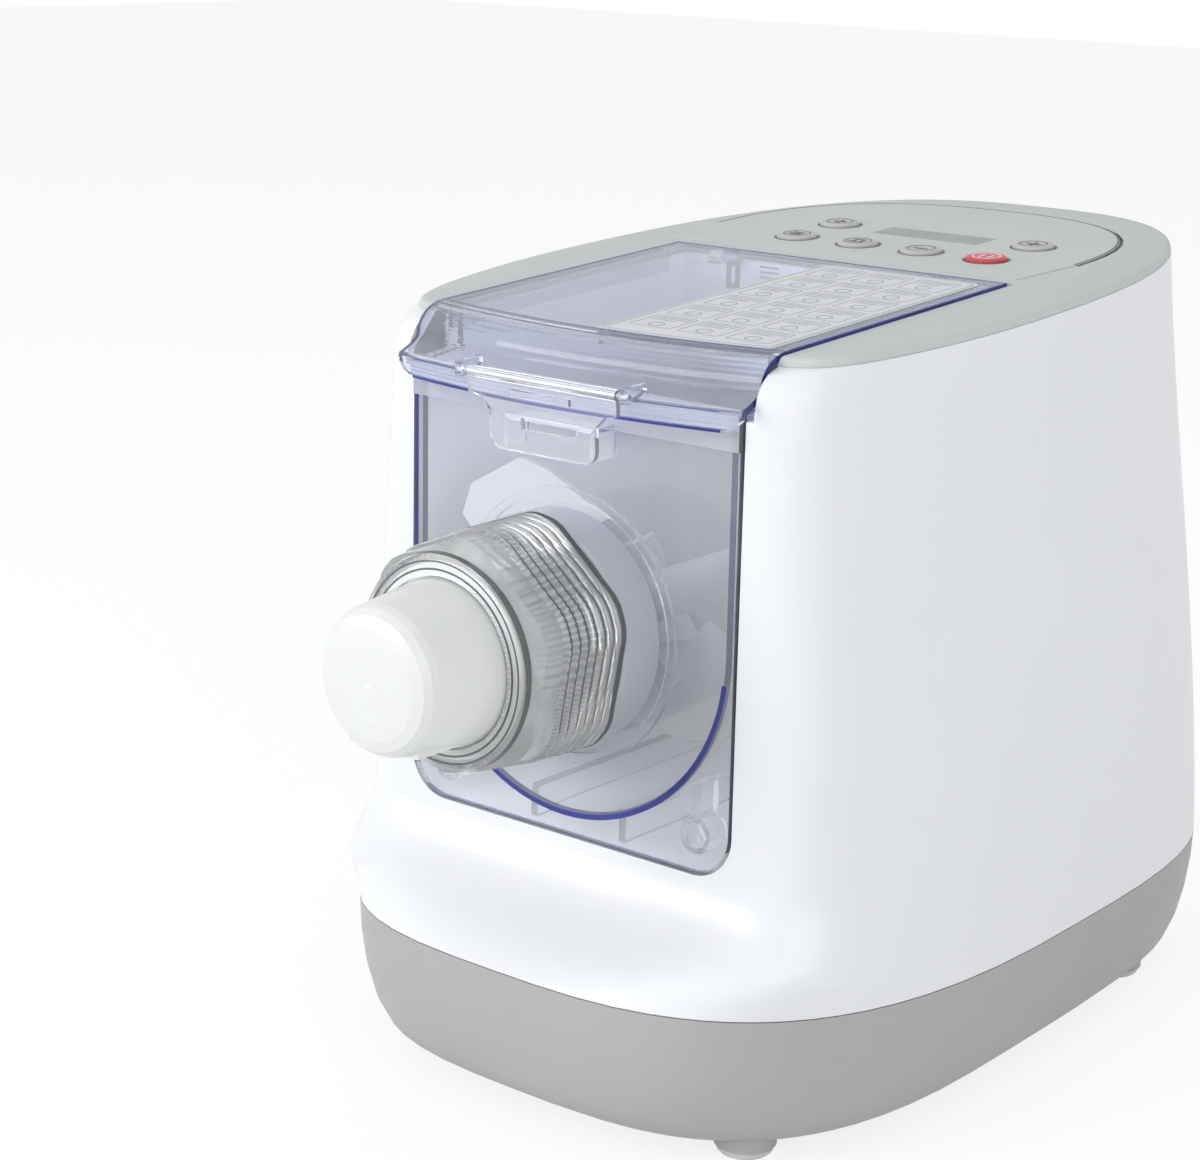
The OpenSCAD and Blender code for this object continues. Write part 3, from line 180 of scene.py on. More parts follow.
def ramp(nodes, links, value, low, high, start=0.3, end=0.7):
    """Maps a value onto the range low to high, given as colours or as plain numbers."""
    if isinstance(low, (int, float)):
        spread = nodes.new("ShaderNodeMapRange")
        spread.inputs["From Min"].default_value = start
        spread.inputs["From Max"].default_value = end
        spread.inputs["To Min"].default_value = low
        spread.inputs["To Max"].default_value = high
        links.new(value, spread.inputs["Value"])
        return spread.outputs["Result"]
    band = nodes.new("ShaderNodeValToRGB")
    band.color_ramp.elements[0].position = start
    band.color_ramp.elements[1].position = end
    band.color_ramp.elements[0].color = (*low, 1)
    band.color_ramp.elements[1].color = (*high, 1)
    links.new(value, band.inputs["Fac"])
    return band.outputs["Color"]


def shade(color, factor):
    """A colour made lighter or darker."""
    return tuple(min(1.0, c * factor) for c in color)


def relief_bump(nodes, links, shader, height, strength, distance):
    """Raises the surface by a height in 0 to 1, over a distance in metres."""
    bump = nodes.new("ShaderNodeBump")
    bump.inputs["Strength"].default_value = strength
    bump.inputs["Distance"].default_value = distance
    links.new(height, bump.inputs["Height"])
    links.new(bump.outputs["Normal"], shader.inputs["Normal"])


def moulded(name, color, roughness, grain=900.0, relief=0.00002, variation=0.02, coat=0.0,
            subsurface=0.0, gloss=0.5):
    """Moulded plastic: slight mottling, uneven gloss and a fine grain, relief metres deep."""
    material, nodes, links, shader = new_material(name)
    place = nodes.new("ShaderNodeTexCoord")
    cloud = noise(nodes, links, place, scale=14.0)
    links.new(ramp(nodes, links, cloud, shade(color, 1 - variation), shade(color, 1 + variation)),
              shader.inputs["Base Color"])
    wear = noise(nodes, links, place, scale=60.0)
    links.new(ramp(nodes, links, wear, roughness - 0.04, roughness + 0.05), shader.inputs["Roughness"])
    grains = noise(nodes, links, place, scale=grain, detail=2.0)
    relief_bump(nodes, links, shader, grains, strength=0.6, distance=relief)
    shader.inputs["Specular IOR Level"].default_value = gloss
    shader.inputs["Coat Weight"].default_value = coat
    shader.inputs["Coat Roughness"].default_value = 0.12
    if subsurface:
        shader.inputs["Subsurface Weight"].default_value = subsurface
        shader.inputs["Subsurface Scale"].default_value = 0.004
    return material


# How much more of the blue than of the rest passes into the shadow of clear plastic
SHADOW_BLUE = 1.04


def clear(name, tint, absorb, density, roughness=0.02, waviness=0.00003, haze=0.0, lamp_share=0.96,
          ior=1.42):
    """Clear plastic that darkens to its absorb colour where the light runs a long way inside it.

    haze is the share of the light that its surface scatters. Lamps shine through it: each surface
    that a shadow ray crosses passes lamp_share of it, and a little more of the blue. ior is below real
    plastic's where grazing reflections would hide what lies behind.
    """
    material, nodes, links, shader = new_material(name)
    place = nodes.new("ShaderNodeTexCoord")
    shader.inputs["Transmission Weight"].default_value = 1.0 - haze
    shader.inputs["IOR"].default_value = ior
    cloud = noise(nodes, links, place, scale=20.0)
    links.new(ramp(nodes, links, cloud, shade(tint, 0.985), tint), shader.inputs["Base Color"])
    smear = noise(nodes, links, place, scale=45.0)
    links.new(ramp(nodes, links, smear, roughness, roughness + 0.02), shader.inputs["Roughness"])
    waves = noise(nodes, links, place, scale=35.0, detail=1.0)
    relief_bump(nodes, links, shader, waves, strength=0.35, distance=waviness)
    volume = nodes.new("ShaderNodeVolumeAbsorption")
    volume.inputs["Color"].default_value = (*absorb, 1)
    volume.inputs["Density"].default_value = density
    output = nodes["Material Output"]
    links.new(volume.outputs["Volume"], output.inputs["Volume"])
    path = nodes.new("ShaderNodeLightPath")
    through = nodes.new("ShaderNodeBsdfTransparent")
    through.inputs["Color"].default_value = (lamp_share, lamp_share, min(1.0, lamp_share * SHADOW_BLUE), 1)
    mix = nodes.new("ShaderNodeMixShader")
    links.new(path.outputs["Is Shadow Ray"], mix.inputs["Fac"])
    links.new(shader.outputs["BSDF"], mix.inputs[1])
    links.new(through.outputs["BSDF"], mix.inputs[2])
    links.new(mix.outputs["Shader"], output.inputs["Surface"])
    return material


def painted_edge_light(name, color, roughness=0.12):
    """Painted edge light: the edge of a clear sheet, where the light that ran along it leaves in one deep
    colour.
    """
    material, nodes, links, shader = new_material(name)
    place = nodes.new("ShaderNodeTexCoord")
    cloud = noise(nodes, links, place, scale=30.0)
    links.new(ramp(nodes, links, cloud, shade(color, 0.8), shade(color, 1.25)),
              shader.inputs["Base Color"])
    smear = noise(nodes, links, place, scale=80.0)
    links.new(ramp(nodes, links, smear, roughness, roughness + 0.08), shader.inputs["Roughness"])
    waves = noise(nodes, links, place, scale=120.0, detail=1.0)
    relief_bump(nodes, links, shader, waves, strength=0.3, distance=0.03 * MM)
    shader.inputs["Specular IOR Level"].default_value = 0.3
    return material


def metal(name, color, roughness, streaks=400.0):
    """Machined metal with fine turning marks."""
    material, nodes, links, shader = new_material(name)
    place = nodes.new("ShaderNodeTexCoord")
    shader.inputs["Metallic"].default_value = 1.0
    marks = nodes.new("ShaderNodeTexNoise")
    marks.inputs["Scale"].default_value = streaks
    stretch = nodes.new("ShaderNodeMapping")
    stretch.inputs["Scale"].default_value = (0.1, 3.0, 0.1)
    links.new(place.outputs["Object"], stretch.inputs["Vector"])
    links.new(stretch.outputs["Vector"], marks.inputs["Vector"])
    links.new(ramp(nodes, links, marks.outputs["Fac"], shade(color, 0.9), shade(color, 1.08)),
              shader.inputs["Base Color"])
    links.new(ramp(nodes, links, marks.outputs["Fac"], roughness - 0.06, roughness + 0.1),
              shader.inputs["Roughness"])
    return material


def make_materials():
    """Every look, by its short name. violet is what is left of white light deep inside the clear plastic."""
    violet = (0.55, 0.58, 0.93)
    return {
        "shell": moulded("shell_white", (0.775, 0.785, 0.805), 0.36, coat=0.1, variation=0.008),
        "base": moulded("base_grey", (0.405, 0.40, 0.40), 0.50, grain=1400.0, relief=0.00004, gloss=0.3),
        "top": moulded("top_grey", (0.555, 0.58, 0.57), 0.62, grain=1600.0, relief=0.00004, gloss=0.12),
        # Painted shade: the groove round the controls and the line along the control area's edge
        "groove": moulded("groove_painted_shade", (0.20, 0.20, 0.185), 0.6, gloss=0.1),
        "overlay": moulded("overlay_grey", (0.565, 0.585, 0.57), 0.60, grain=2200.0, gloss=0.12),
        "button": moulded("button_grey", (0.46, 0.465, 0.45), 0.45, gloss=0.3),
        "button_red": moulded("button_red", (0.52, 0.06, 0.07), 0.38, gloss=0.4),
        # Print on the buttons, and also the painted shadow line of the gap round each button
        "mark": moulded("mark_print_and_gap_shade", (0.14, 0.14, 0.135), 0.5, gloss=0.2),
        "mark_pale": moulded("mark_pale", (0.78, 0.74, 0.74), 0.5, gloss=0.2),
        "lens": moulded("display_lens", (0.29, 0.325, 0.295), 0.42, relief=0.000004, gloss=0.25),
        "liner": moulded("liner_white", (0.93, 0.94, 0.955), 0.38, variation=0.01),
        "milky": moulded("milky_white", (0.715, 0.725, 0.71), 0.34, coat=0.15, subsurface=0.25,
                         variation=0.01),
        "paddle": moulded("paddle_white", (0.45, 0.455, 0.465), 0.40, subsurface=0.15, gloss=0.3),
        "clear": clear("clear_violet", (0.98, 0.985, 1.0), violet, 3.0, haze=0.05),
        "plate": clear("clear_plate", (0.96, 0.975, 1.0), violet, 4.0, haze=0.16),
        "lid_clear": clear("clear_lid", (0.70, 0.745, 0.83), violet, 12.0, haze=0.05, ior=1.22),
        "apron": clear("clear_apron", (0.83, 0.855, 0.92), violet, 8.0, haze=0.10, ior=1.3),
        "frost": clear("clear_frosted", (0.955, 0.97, 1.0), violet, 8.0, roughness=0.2, haze=0.4),
        # Painted edge light: light that ran along a clear sheet leaves its edge in a deep colour; edge_pale
        # is the bluer one
        "edge": painted_edge_light("edge_violet", (0.035, 0.045, 0.18)),
        "edge_pale": painted_edge_light("edge_pale_violet", (0.035, 0.045, 0.25)),
        "edge_grey": painted_edge_light("edge_grey", (0.14, 0.16, 0.17)),
        "nut": clear("clear_nut", (0.86, 0.88, 0.88), (0.75, 0.78, 0.80), 4.0, roughness=0.05,
                     waviness=0.00025, haze=0.06),
        "nut_band": clear("nut_band", (0.84, 0.86, 0.86), (0.8, 0.8, 0.8), 3.0, roughness=0.25,
                          haze=0.30),
        # Painted highlight: the bright rings at the nut's front and the crests of its ridges
        "nut_painted_highlight": clear("nut_painted_highlight", (0.96, 0.97, 0.97), (0.8, 0.8, 0.8), 3.0, roughness=0.05,
                           waviness=0.00025, haze=0.20),
        # Painted shade: the dark rings at the nut's front, its ridge valleys and the lines on its front
        "nut_painted_shade": clear("nut_painted_shade", (0.20, 0.215, 0.22), (0.6, 0.6, 0.6), 5.0, roughness=0.08,
                            waviness=0.00025, haze=0.35),
        "collar": clear("clear_collar", (0.64, 0.66, 0.70), (0.7, 0.72, 0.78), 12.0, roughness=0.25,
                        haze=0.6),
        "film": clear("lid_film", (0.77, 0.78, 0.795), (0.8, 0.8, 0.8), 5.0, roughness=0.4, haze=0.65,
                      lamp_share=0.85),
        "print": moulded("film_print", (0.34, 0.35, 0.38), 0.5, gloss=0.2),
        "pad": moulded("pad_grey", (0.60, 0.60, 0.61), 0.6, grain=1800.0, relief=0.00006),
        "rubber": moulded("rubber_dark", (0.05, 0.05, 0.05), 0.65, grain=1800.0, relief=0.00006),
        "dark": moulded("dark_plastic", (0.05, 0.05, 0.055), 0.45),
        "board": moulded("board_green", (0.03, 0.13, 0.05), 0.35, variation=0.1),
        "steel": metal("steel", (0.55, 0.56, 0.58), 0.3),
        "pin": metal("pin_steel", (0.50, 0.51, 0.56), 0.5),
        "brass": metal("brass", (0.62, 0.45, 0.2), 0.28),
        "zinc": metal("zinc_sheet", (0.42, 0.43, 0.45), 0.42, streaks=120.0),
        "nylon": moulded("gear_nylon", (0.74, 0.70, 0.58), 0.4, subsurface=0.1),
        "casting": moulded("housing_plastic", (0.6, 0.6, 0.61), 0.45),
    }


# The nodes that take each look
CAD_LOOKS = {
    "shell": ["body_shell"],
    "base": ["base_tray"],
    "top": ["top_panel"],
    "overlay": ["control_overlay"],
    "button": ["button_menu", "button_weight", "button_minus", "button_mix", "button_plus"],
    "button_red": ["button_start"],
    "lens": ["display_window"],
    "liner": ["cavity_liner"],
    "milky": ["outlet_head", "shaping_die", "tub_bush"],
    "paddle": ["stirring_paddle", "auger_screw"],
    "clear": ["mixing_tub", "lid_latch"],
    "plate": ["front_plate"],
    "lid_clear": ["lid"],
    "nut": ["clamp_nut"],
    "collar": ["extrusion_barrel"],
    "pad": ["foot_pads", "head_seal"],
    "rubber": ["shaft_seal"],
    "dark": ["display_module", "tact_switches", "cord_gland", "interlock_switch", "motor_rear_cap",
             "cooling_fan"],
    "board": ["control_board", "power_board"],
    "steel": ["base_screws", "gearbox_screws", "front_bearing", "rear_bearing", "mid_axle",
              "motor_rotor", "drive_shaft"],
    "pin": ["lid_pins", "latch_pin"],
    "brass": ["motor_front_bush", "motor_pinion"],
    "zinc": ["motor_can"],
    "nylon": ["intermediate_gear", "output_gear"],
    "casting": ["gearbox_housing", "gearbox_cover", "motor_cradle"],
}


def dress_cad(looks):
    """Gives every CAD node its material."""
    dressed = set()
    for look, names in CAD_LOOKS.items():
        for name in names:
            mesh = NODES[name].data
            mesh.materials.clear()
            mesh.materials.append(looks[look])
            dressed.add(name)
    left = set(NODES) - dressed
    if left:
        raise ValueError(f"no material for {sorted(left)}")


SMOOTHED = ["body_shell", "base_tray", "top_panel", "clamp_nut", "auger_screw"]
SMOOTH_ANGLE = math.radians(32)
WELD_DISTANCE = 0.005 * MM


def smooth_nodes():
    """Shades the lofted nodes as curved surfaces, with creases only where the faces turn sharply."""
    for name in SMOOTHED:
        piece = NODES[name]
        mesh = piece.data
        for layer in ("custom_normal", "sharp_edge", "sharp_face"):
            if layer in mesh.attributes:
                mesh.attributes.remove(mesh.attributes[layer])
        for polygon in mesh.polygons:
            polygon.use_smooth = True
        weld = piece.modifiers.new("weld", "WELD")
        weld.merge_threshold = WELD_DISTANCE
        split = piece.modifiers.new("creases", "EDGE_SPLIT")
        split.split_angle = SMOOTH_ANGLE
        split.use_edge_sharp = False


# ---- Which way a face looks: limits for one part of its unit normal ----
CUT_FACE = 0.5
REAR_FACE = 0.6
SIDE_FACE = 0.7
FORWARD_FACE = -0.9

# ---- The front plate: where its cut edges and its frosted upper rim start ----
PLATE_LOW, PLATE_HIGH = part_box("front_plate")
PLATE_SIDE = PLATE_HIGH.x - 1 * MM
PLATE_BOTTOM = 0.104
PLATE_RIM = 0.245

# ---- The tub's front edge, behind the plate ----
TUB_FRONT_Y = -0.1070

# ---- The lid's sides and rear end, and how high its lip's underside is in the frame of the top ----
LID_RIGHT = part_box("lid")[1].x
LID_SIDE = LID_RIGHT - 1.1 * MM
LID_REAR = 0.0420
LIP_RISE = -0.0204

# ---- The groove round the controls: heights and reach in the frame of the top ----
GROOVE_FLOOR = -0.8 * MM
GROOVE_TOP = -0.01 * MM
GROOVE_FRONT = 0.0890
GROOVE_REACH = 4 * MM

# ---- The clamp nut: rings by their depth from its front, then ridges by their share of a step ----
NUT_LOW, NUT_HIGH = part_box("clamp_nut")
# Rings of painted highlight and painted shade on the nut's front, by their depth
NUT_FRONT_BANDS = [(0.5 * MM, "nut_painted_highlight"), (2.0 * MM, "nut_painted_shade"), (3.3 * MM, "nut_painted_highlight"),
                   (5.2 * MM, "nut_painted_shade")]
BAND_DEPTH = 14.8 * MM
RIDGE_DEPTH = 15 * MM
RIDGE_STEP = 4.014 * MM
VALLEY_SHARES = (0.72, 0.04)
CREST_SHARE = 0.55
NUT_RIM = NUT_HIGH.y - 1 * MM


def plate_look(at, normal):
    """The plate's cut edges are painted deep violet, or grey at its right, for the light that leaves them,
    and its upper rim is frosted.
    """
    if abs(normal.y) < CUT_FACE and at.x < -PLATE_SIDE:
        return "edge"
    if abs(normal.y) < CUT_FACE and at.x > PLATE_SIDE:
        return "edge_grey"
    if abs(normal.y) < CUT_FACE and at.z < PLATE_BOTTOM:
        return "edge_pale"
    return "frost" if at.z > PLATE_RIM else "plate"


def tub_look(at, normal):
    """The tub's front edge is painted deep violet, for the light that leaves it."""
    return "edge_pale" if normal.y < FORWARD_FACE and at.y < TUB_FRONT_Y else "clear"


def lid_look(at, normal):
    """The lid's cut faces are painted deep violet, for the light that leaves them, and its apron in front of
    the crease is paler.
    """
    x, y, rise = top_frame().inverted() @ at
    underside = normal.z < -CUT_FACE and at.y < FRONT_Y and rise < LIP_RISE
    side = abs(normal.x) > SIDE_FACE and abs(at.x) > LID_SIDE
    rear = normal.y > REAR_FACE and at.y > LID_REAR
    if underside or side or rear:
        return "edge"
    return "apron" if abs(x) < CREASE_R and y < crease_y(x) else "lid_clear"


def top_look(at, normal):
    """The groove round the controls is in shadow."""
    x, y, rise = top_frame().inverted() @ at
    reach = (abs((x - ARC_MIDDLE[0]) / (ARC_REACH[0] + GROOVE_REACH)) ** ARC_POWER
             + abs((y - ARC_MIDDLE[1]) / (ARC_REACH[1] + GROOVE_REACH)) ** ARC_POWER)
    sunk = GROOVE_FLOOR < rise < GROOVE_TOP
    return "groove" if sunk and at.y > GROOVE_FRONT and reach < 1 else "top"


def nut_look(at, normal):
    """Rings at the front, a frosted band, then ridges: the bright rings and crests are painted highlights,
    the dark rings and valleys painted shade.
    """
    depth = at.y - NUT_LOW.y
    for limit, look in NUT_FRONT_BANDS:
        if depth < limit:
            return look
    if depth < BAND_DEPTH:
        return "nut_band"
    if at.y > NUT_RIM:
        return "nut"
    share = ((depth - RIDGE_DEPTH) / RIDGE_STEP) % 1
    if share > VALLEY_SHARES[0] or share < VALLEY_SHARES[1]:
        return "nut_painted_shade"
    return "nut_painted_highlight" if share < CREST_SHARE else "nut"


FACE_LOOKS = {"front_plate": plate_look, "mixing_tub": tub_look, "lid": lid_look, "clamp_nut": nut_look,
              "top_panel": top_look}


def dress_faces(looks):
    """Gives single faces of the clear pieces their own look: edges, frosted bands and ridges."""
    for name, look_of in FACE_LOOKS.items():
        mesh = NODES[name].data
        order = []
        mesh.materials.clear()
        for polygon in mesh.polygons:
            look = look_of(polygon.center, polygon.normal)
            if look not in order:
                order.append(look)
                mesh.materials.append(looks[look])
            polygon.material_index = order.index(look)


# ---------------------------------------------------------------- surface details

# ---- The film, and the printed blocks on it ----
FILM_LEFT = 1.5 * MM
FILM_RIGHT = 69 * MM
FILM_BACK = 146 * MM
FILM_CORNER = 4 * MM
FILM_OFF_CREASE = 1.2 * MM
FILM_BOTTOM = LID_TOP + 0.02 * MM
FILM_TOP = LID_TOP + 0.25 * MM
PRINT_TOP = LID_TOP + 0.31 * MM
PRINT_LINE_INSETS = (1.2 * MM, 1.6 * MM)
NOTE_ROWS = 6
NOTE_COLUMNS = 3
NOTE_MARGIN = 5 * MM
NOTE_GAP = 3 * MM
NOTE_CORNER = 1.5 * MM
NOTE_LINE = 0.3 * MM
BARS = 3
BAR_MARGIN = 1.5 * MM
BAR_WIDTH = 0.5 * MM
BAR_CORNER = 0.2 * MM
BAR_DROP = 2.4 * MM
BAR_STEP = 2.2 * MM
LAST_BAR_SHORT = 4 * MM
RING_RADII = (3 * MM, 2.5 * MM)
RING_Y = 4.5 * MM


def film_outline(inset, steps=12):
    """Outline of the film: its front edge follows the bowed crease."""
    inner = rounded_box(FILM_LEFT + inset, 0, FILM_RIGHT - inset, FILM_BACK - inset, FILM_CORNER)
    rear = [p for p in inner if p[1] > FILM_BACK / 2]
    width = FILM_RIGHT - FILM_LEFT - 2 * inset
    xs = [FILM_LEFT + inset + width * i / steps for i in range(steps + 1)]
    return [(x, crease_y(x) + FILM_OFF_CREASE + inset) for x in xs] + rear


def printed_note(x0, y0, width, depth, place):
    """One plain printed block: a frame, bars from its rear edge down, and a ring below them.

    The ring's two outlines are boxes whose corners are rounded almost to a circle.
    """
    outer = rounded_box(x0, y0, x0 + width, y0 + depth, NOTE_CORNER)
    inner = rounded_box(x0 + NOTE_LINE, y0 + NOTE_LINE, x0 + width - NOTE_LINE, y0 + depth - NOTE_LINE,
                        NOTE_CORNER - NOTE_LINE)
    marks = [frame_slab(outer, inner, FILM_TOP, PRINT_TOP, place)]
    for line in range(BARS):
        left, right = x0 + BAR_MARGIN, x0 + width - BAR_MARGIN
        if line == BARS - 1:
            right -= LAST_BAR_SHORT
        y = y0 + depth - BAR_DROP - BAR_STEP * line
        bar = rounded_box(left, y, right, y + BAR_WIDTH, BAR_CORNER, steps=2)
        marks.append(slab(bar, FILM_TOP, PRINT_TOP, place))
    middle = x0 + width / 2
    disc, core = (rounded_box(middle - r, y0 + RING_Y - r, middle + r, y0 + RING_Y + r, r - 0.01 * MM)
                  for r in RING_RADII)
    marks.append(frame_slab(disc, core, FILM_TOP, PRINT_TOP, place))
    return marks


def lid_film(looks):
    """A bare printed film on the right half of the lid, with plain blocks where notes would be."""
    place = top_frame()
    shape = slab(film_outline(0), FILM_BOTTOM, FILM_TOP, place)
    film = mesh_piece("lid_film", *shape, looks["film"], "lid")
    outer, inner = (film_outline(inset) for inset in PRINT_LINE_INSETS)
    marks = [frame_slab(outer, inner, FILM_TOP, PRINT_TOP, place)]
    front = crease_y(FILM_RIGHT) + NOTE_MARGIN
    depth = (FILM_BACK - front - NOTE_MARGIN - (NOTE_ROWS - 1) * NOTE_GAP) / NOTE_ROWS
    width = (FILM_RIGHT - FILM_LEFT - 2 * NOTE_MARGIN - (NOTE_COLUMNS - 1) * NOTE_GAP) / NOTE_COLUMNS
    for row in range(NOTE_ROWS):
        for column in range(NOTE_COLUMNS):
            x0 = FILM_LEFT + NOTE_MARGIN + column * (width + NOTE_GAP)
            y0 = front + row * (depth + NOTE_GAP)
            marks += printed_note(x0, y0, width, depth, place)
    printing = mesh_piece("film_printing", *join_slabs(marks), looks["print"], "lid")


# ---- The line on the front plate: its width, its lower and upper end, and its heights off the face ----
PLATE_LINE = 1.5 * MM
PLATE_LINE_BOTTOM = 0.1160
PLATE_LINE_TOP = 0.2580
PLATE_LINE_HEIGHTS = (0.02 * MM, 0.12 * MM)


def plate_border(looks):
    """A painted deep line along the plate's left edge, where the light in its thickness shows through its
    face.
    """
    outline = rectangle(PLATE_LOW.x, PLATE_LINE_BOTTOM, PLATE_LOW.x + PLATE_LINE, PLATE_LINE_TOP)
    shape = slab(outline, *PLATE_LINE_HEIGHTS, upright(FRONT_Y))
    line = mesh_piece("plate_edge_line", *shape, looks["edge"], "tub")


# ---- The line of the tub's round bottom: its axis, radii, angle short of level, and height ----
TUB_MID_Z = 0.1765
TUB_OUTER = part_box("mixing_tub")[1].x
TUB_INNER = TUB_OUTER - 1.9 * MM
TUB_LINE_SHORT = 0.12
TUB_LINE_PROUD = 0.03 * MM


def round_bottom(r, steps=40):
    """The round bottom of the tub's section, from left to right, a little short of the half circle."""
    start, sweep = math.pi + TUB_LINE_SHORT, math.pi - 2 * TUB_LINE_SHORT
    angles = [start + sweep * i / steps for i in range(steps + 1)]
    return [(r * math.cos(angle), TUB_MID_Z + r * math.sin(angle)) for angle in angles]


def tub_edge_line(looks):
    """A painted deep line of the tub's round front edge, where its edge light shows through the plate, on
    the plate's face.
    """
    place = upright(FRONT_Y)
    outer, inner = round_bottom(TUB_OUTER), round_bottom(TUB_INNER)
    points = [place @ Vector((x, z, TUB_LINE_PROUD)) for x, z in outer + inner]
    n = len(outer)
    faces = [[i, n + i, n + i + 1, i + 1] for i in range(n - 1)]
    piece = mesh_piece("tub_edge_line", points, faces, looks["edge_pale"], "tub")


# ---- The lid's lines in the frame of the top: its border, then the bowed face of its lip ----
LID_HALF = LID_RIGHT - 0.2 * MM
LID_FRONT = 0.020
LID_END = 0.1530
SIDE_LINE = 0.9 * MM
END_LINE = 0.8 * MM
LID_LINE_BOTTOM = LID_TOP + 0.01 * MM
CREASE_LINE_TOP = LID_TOP + 0.05 * MM
BORDER_LINE_TOP = LID_TOP + 0.06 * MM
LIP_R = CREASE_R + 23 * MM
LIP_LOW = -22 * MM
LIP_HALF = 67 * MM
LIP_LINE_PROUD = 0.03 * MM
LIP_LINES = [(0.1 * MM, 1.1 * MM), (6.8 * MM, 7.2 * MM)]


def lid_line_strips(place, steps=24):
    """Strips along the lid's crease, its two sides and its rear end."""
    xs = [LID_HALF * (2 * i / steps - 1) for i in range(steps + 1)]
    crease = [(x, crease_y(x)) for x in xs]
    inner = [(x, y + SIDE_LINE) for x, y in crease]
    strips = [slab(crease + inner[::-1], LID_LINE_BOTTOM, CREASE_LINE_TOP, place)]
    for border in (rectangle(-LID_HALF, LID_FRONT, -LID_HALF + SIDE_LINE, LID_END),
                   rectangle(LID_HALF - SIDE_LINE, LID_FRONT, LID_HALF, LID_END),
                   rectangle(-LID_HALF, LID_END - END_LINE, LID_HALF, LID_END)):
        strips.append(slab(border, LID_LINE_BOTTOM, BORDER_LINE_TOP, place))
    return strips


def lip_strip(low, high, place, steps=24):
    """A strip on the bowed front face of the lid's lip, between two heights."""
    points = []
    for i in range(steps + 1):
        x = LIP_HALF * (2 * i / steps - 1)
        y = CREASE_MID_Y - math.sqrt(LIP_R * LIP_R - x * x) - LIP_LINE_PROUD
        points += [place @ Vector((x, y, low)), place @ Vector((x, y, high))]
    faces = [[2 * i, 2 * i + 2, 2 * i + 3, 2 * i + 1] for i in range(steps)]
    return points, faces


def lid_lines(looks):
    """Painted deep lines of edge light along the lid's border and crease, and two along its lip."""
    place = top_frame()
    strips = lid_line_strips(place)
    for low, high in LIP_LINES:
        strips.append(lip_strip(LIP_LOW + low, LIP_LOW + high, place))
    piece = mesh_piece("lid_edge_lines", *join_slabs(strips), looks["edge_pale"], "lid")


# ---- The line round the controls: how far inside the area's edge, and its heights ----
CONTROL_LINE_INSETS = (0.1 * MM, 0.9 * MM)
CONTROL_LINE_HEIGHTS = (OVERLAY_TOP + 0.02 * MM, OVERLAY_TOP + 0.08 * MM)


def arc_points(grow, steps=48):
    """The rear outline of the control area, grown outwards, in the frame of the top."""
    points = []
    for i in range(steps + 1):
        across, along = math.cos(math.pi * i / steps), math.sin(math.pi * i / steps)
        r = (abs(across) ** ARC_POWER + abs(along) ** ARC_POWER) ** (-1 / ARC_POWER)
        points.append((ARC_MIDDLE[0] + r * across * (ARC_REACH[0] + grow),
                       ARC_MIDDLE[1] + r * along * (ARC_REACH[1] + grow)))
    return points


def control_line(looks):
    """A painted shadow line along the edge of the control area."""
    outer, inner = (arc_points(-inset) for inset in CONTROL_LINE_INSETS)
    shape = slab(outer + inner[::-1], *CONTROL_LINE_HEIGHTS, top_frame())
    piece = mesh_piece("control_area_painted_shadow", *shape, looks["groove"], "base")


# ---- The tub's back wall; on it x and z of the clip and the slots, and their heights off it ----
TUB_WALL_Y = FRONT_Y + 147 * MM
CLIP_OUTER = (-0.0450, 0.2700, -0.0392, 0.2808)
CLIP_INNER = (-0.0434, 0.2722, -0.0408, 0.2790)
CLIP_CORNER = 0.8 * MM
CLIP_HEIGHTS = (0.1 * MM, 1.2 * MM)
SLOT_LEFT = -0.0300
SLOT_RIGHT = -0.0210
SLOT_WIDTH = 0.7 * MM
SLOT_CORNER = 0.3 * MM
SLOTS_Z = (0.2755, 0.2775, 0.2795)
SLOT_HEIGHTS = (0.1 * MM, 0.3 * MM)


def tub_details(looks):
    """A small clip and three slots high on the tub's back wall, just under the closed lid."""
    wall = upright(TUB_WALL_Y)
    clip = frame_slab(rounded_box(*CLIP_OUTER, CLIP_CORNER), rounded_box(*CLIP_INNER, CLIP_CORNER),
                      *CLIP_HEIGHTS, wall)
    outlines = [rounded_box(SLOT_LEFT, z, SLOT_RIGHT, z + SLOT_WIDTH, SLOT_CORNER, steps=2)
                for z in SLOTS_Z]
    slots = [slab(outline, *SLOT_HEIGHTS, wall) for outline in outlines]
    piece = mesh_piece("tub_wall_details", *join_slabs([clip] + slots), looks["dark"], "tub")


# ---- The lines on the nut's front: outer and inner radius of each, heights off it, and steps ----
NUT_LINES = [(31.4 * MM, 30.7 * MM), (33.9 * MM, 33.4 * MM)]
NUT_LINE_HEIGHTS = (0.02 * MM, 0.2 * MM)
NUT_LINE_STEPS = 96


def nut_rings(looks):
    """Two dark lines of painted shade on the front of the clamp nut."""
    front = upright(NUT_LOW.y, (NUT_LOW.z + NUT_HIGH.z) / 2)
    rings = [frame_slab(circle(outer, NUT_LINE_STEPS), circle(inner, NUT_LINE_STEPS),
                        *NUT_LINE_HEIGHTS, front) for outer, inner in NUT_LINES]
    piece = mesh_piece("nut_front_shade_lines", *join_slabs(rings), looks["nut_painted_shade"], "nut")


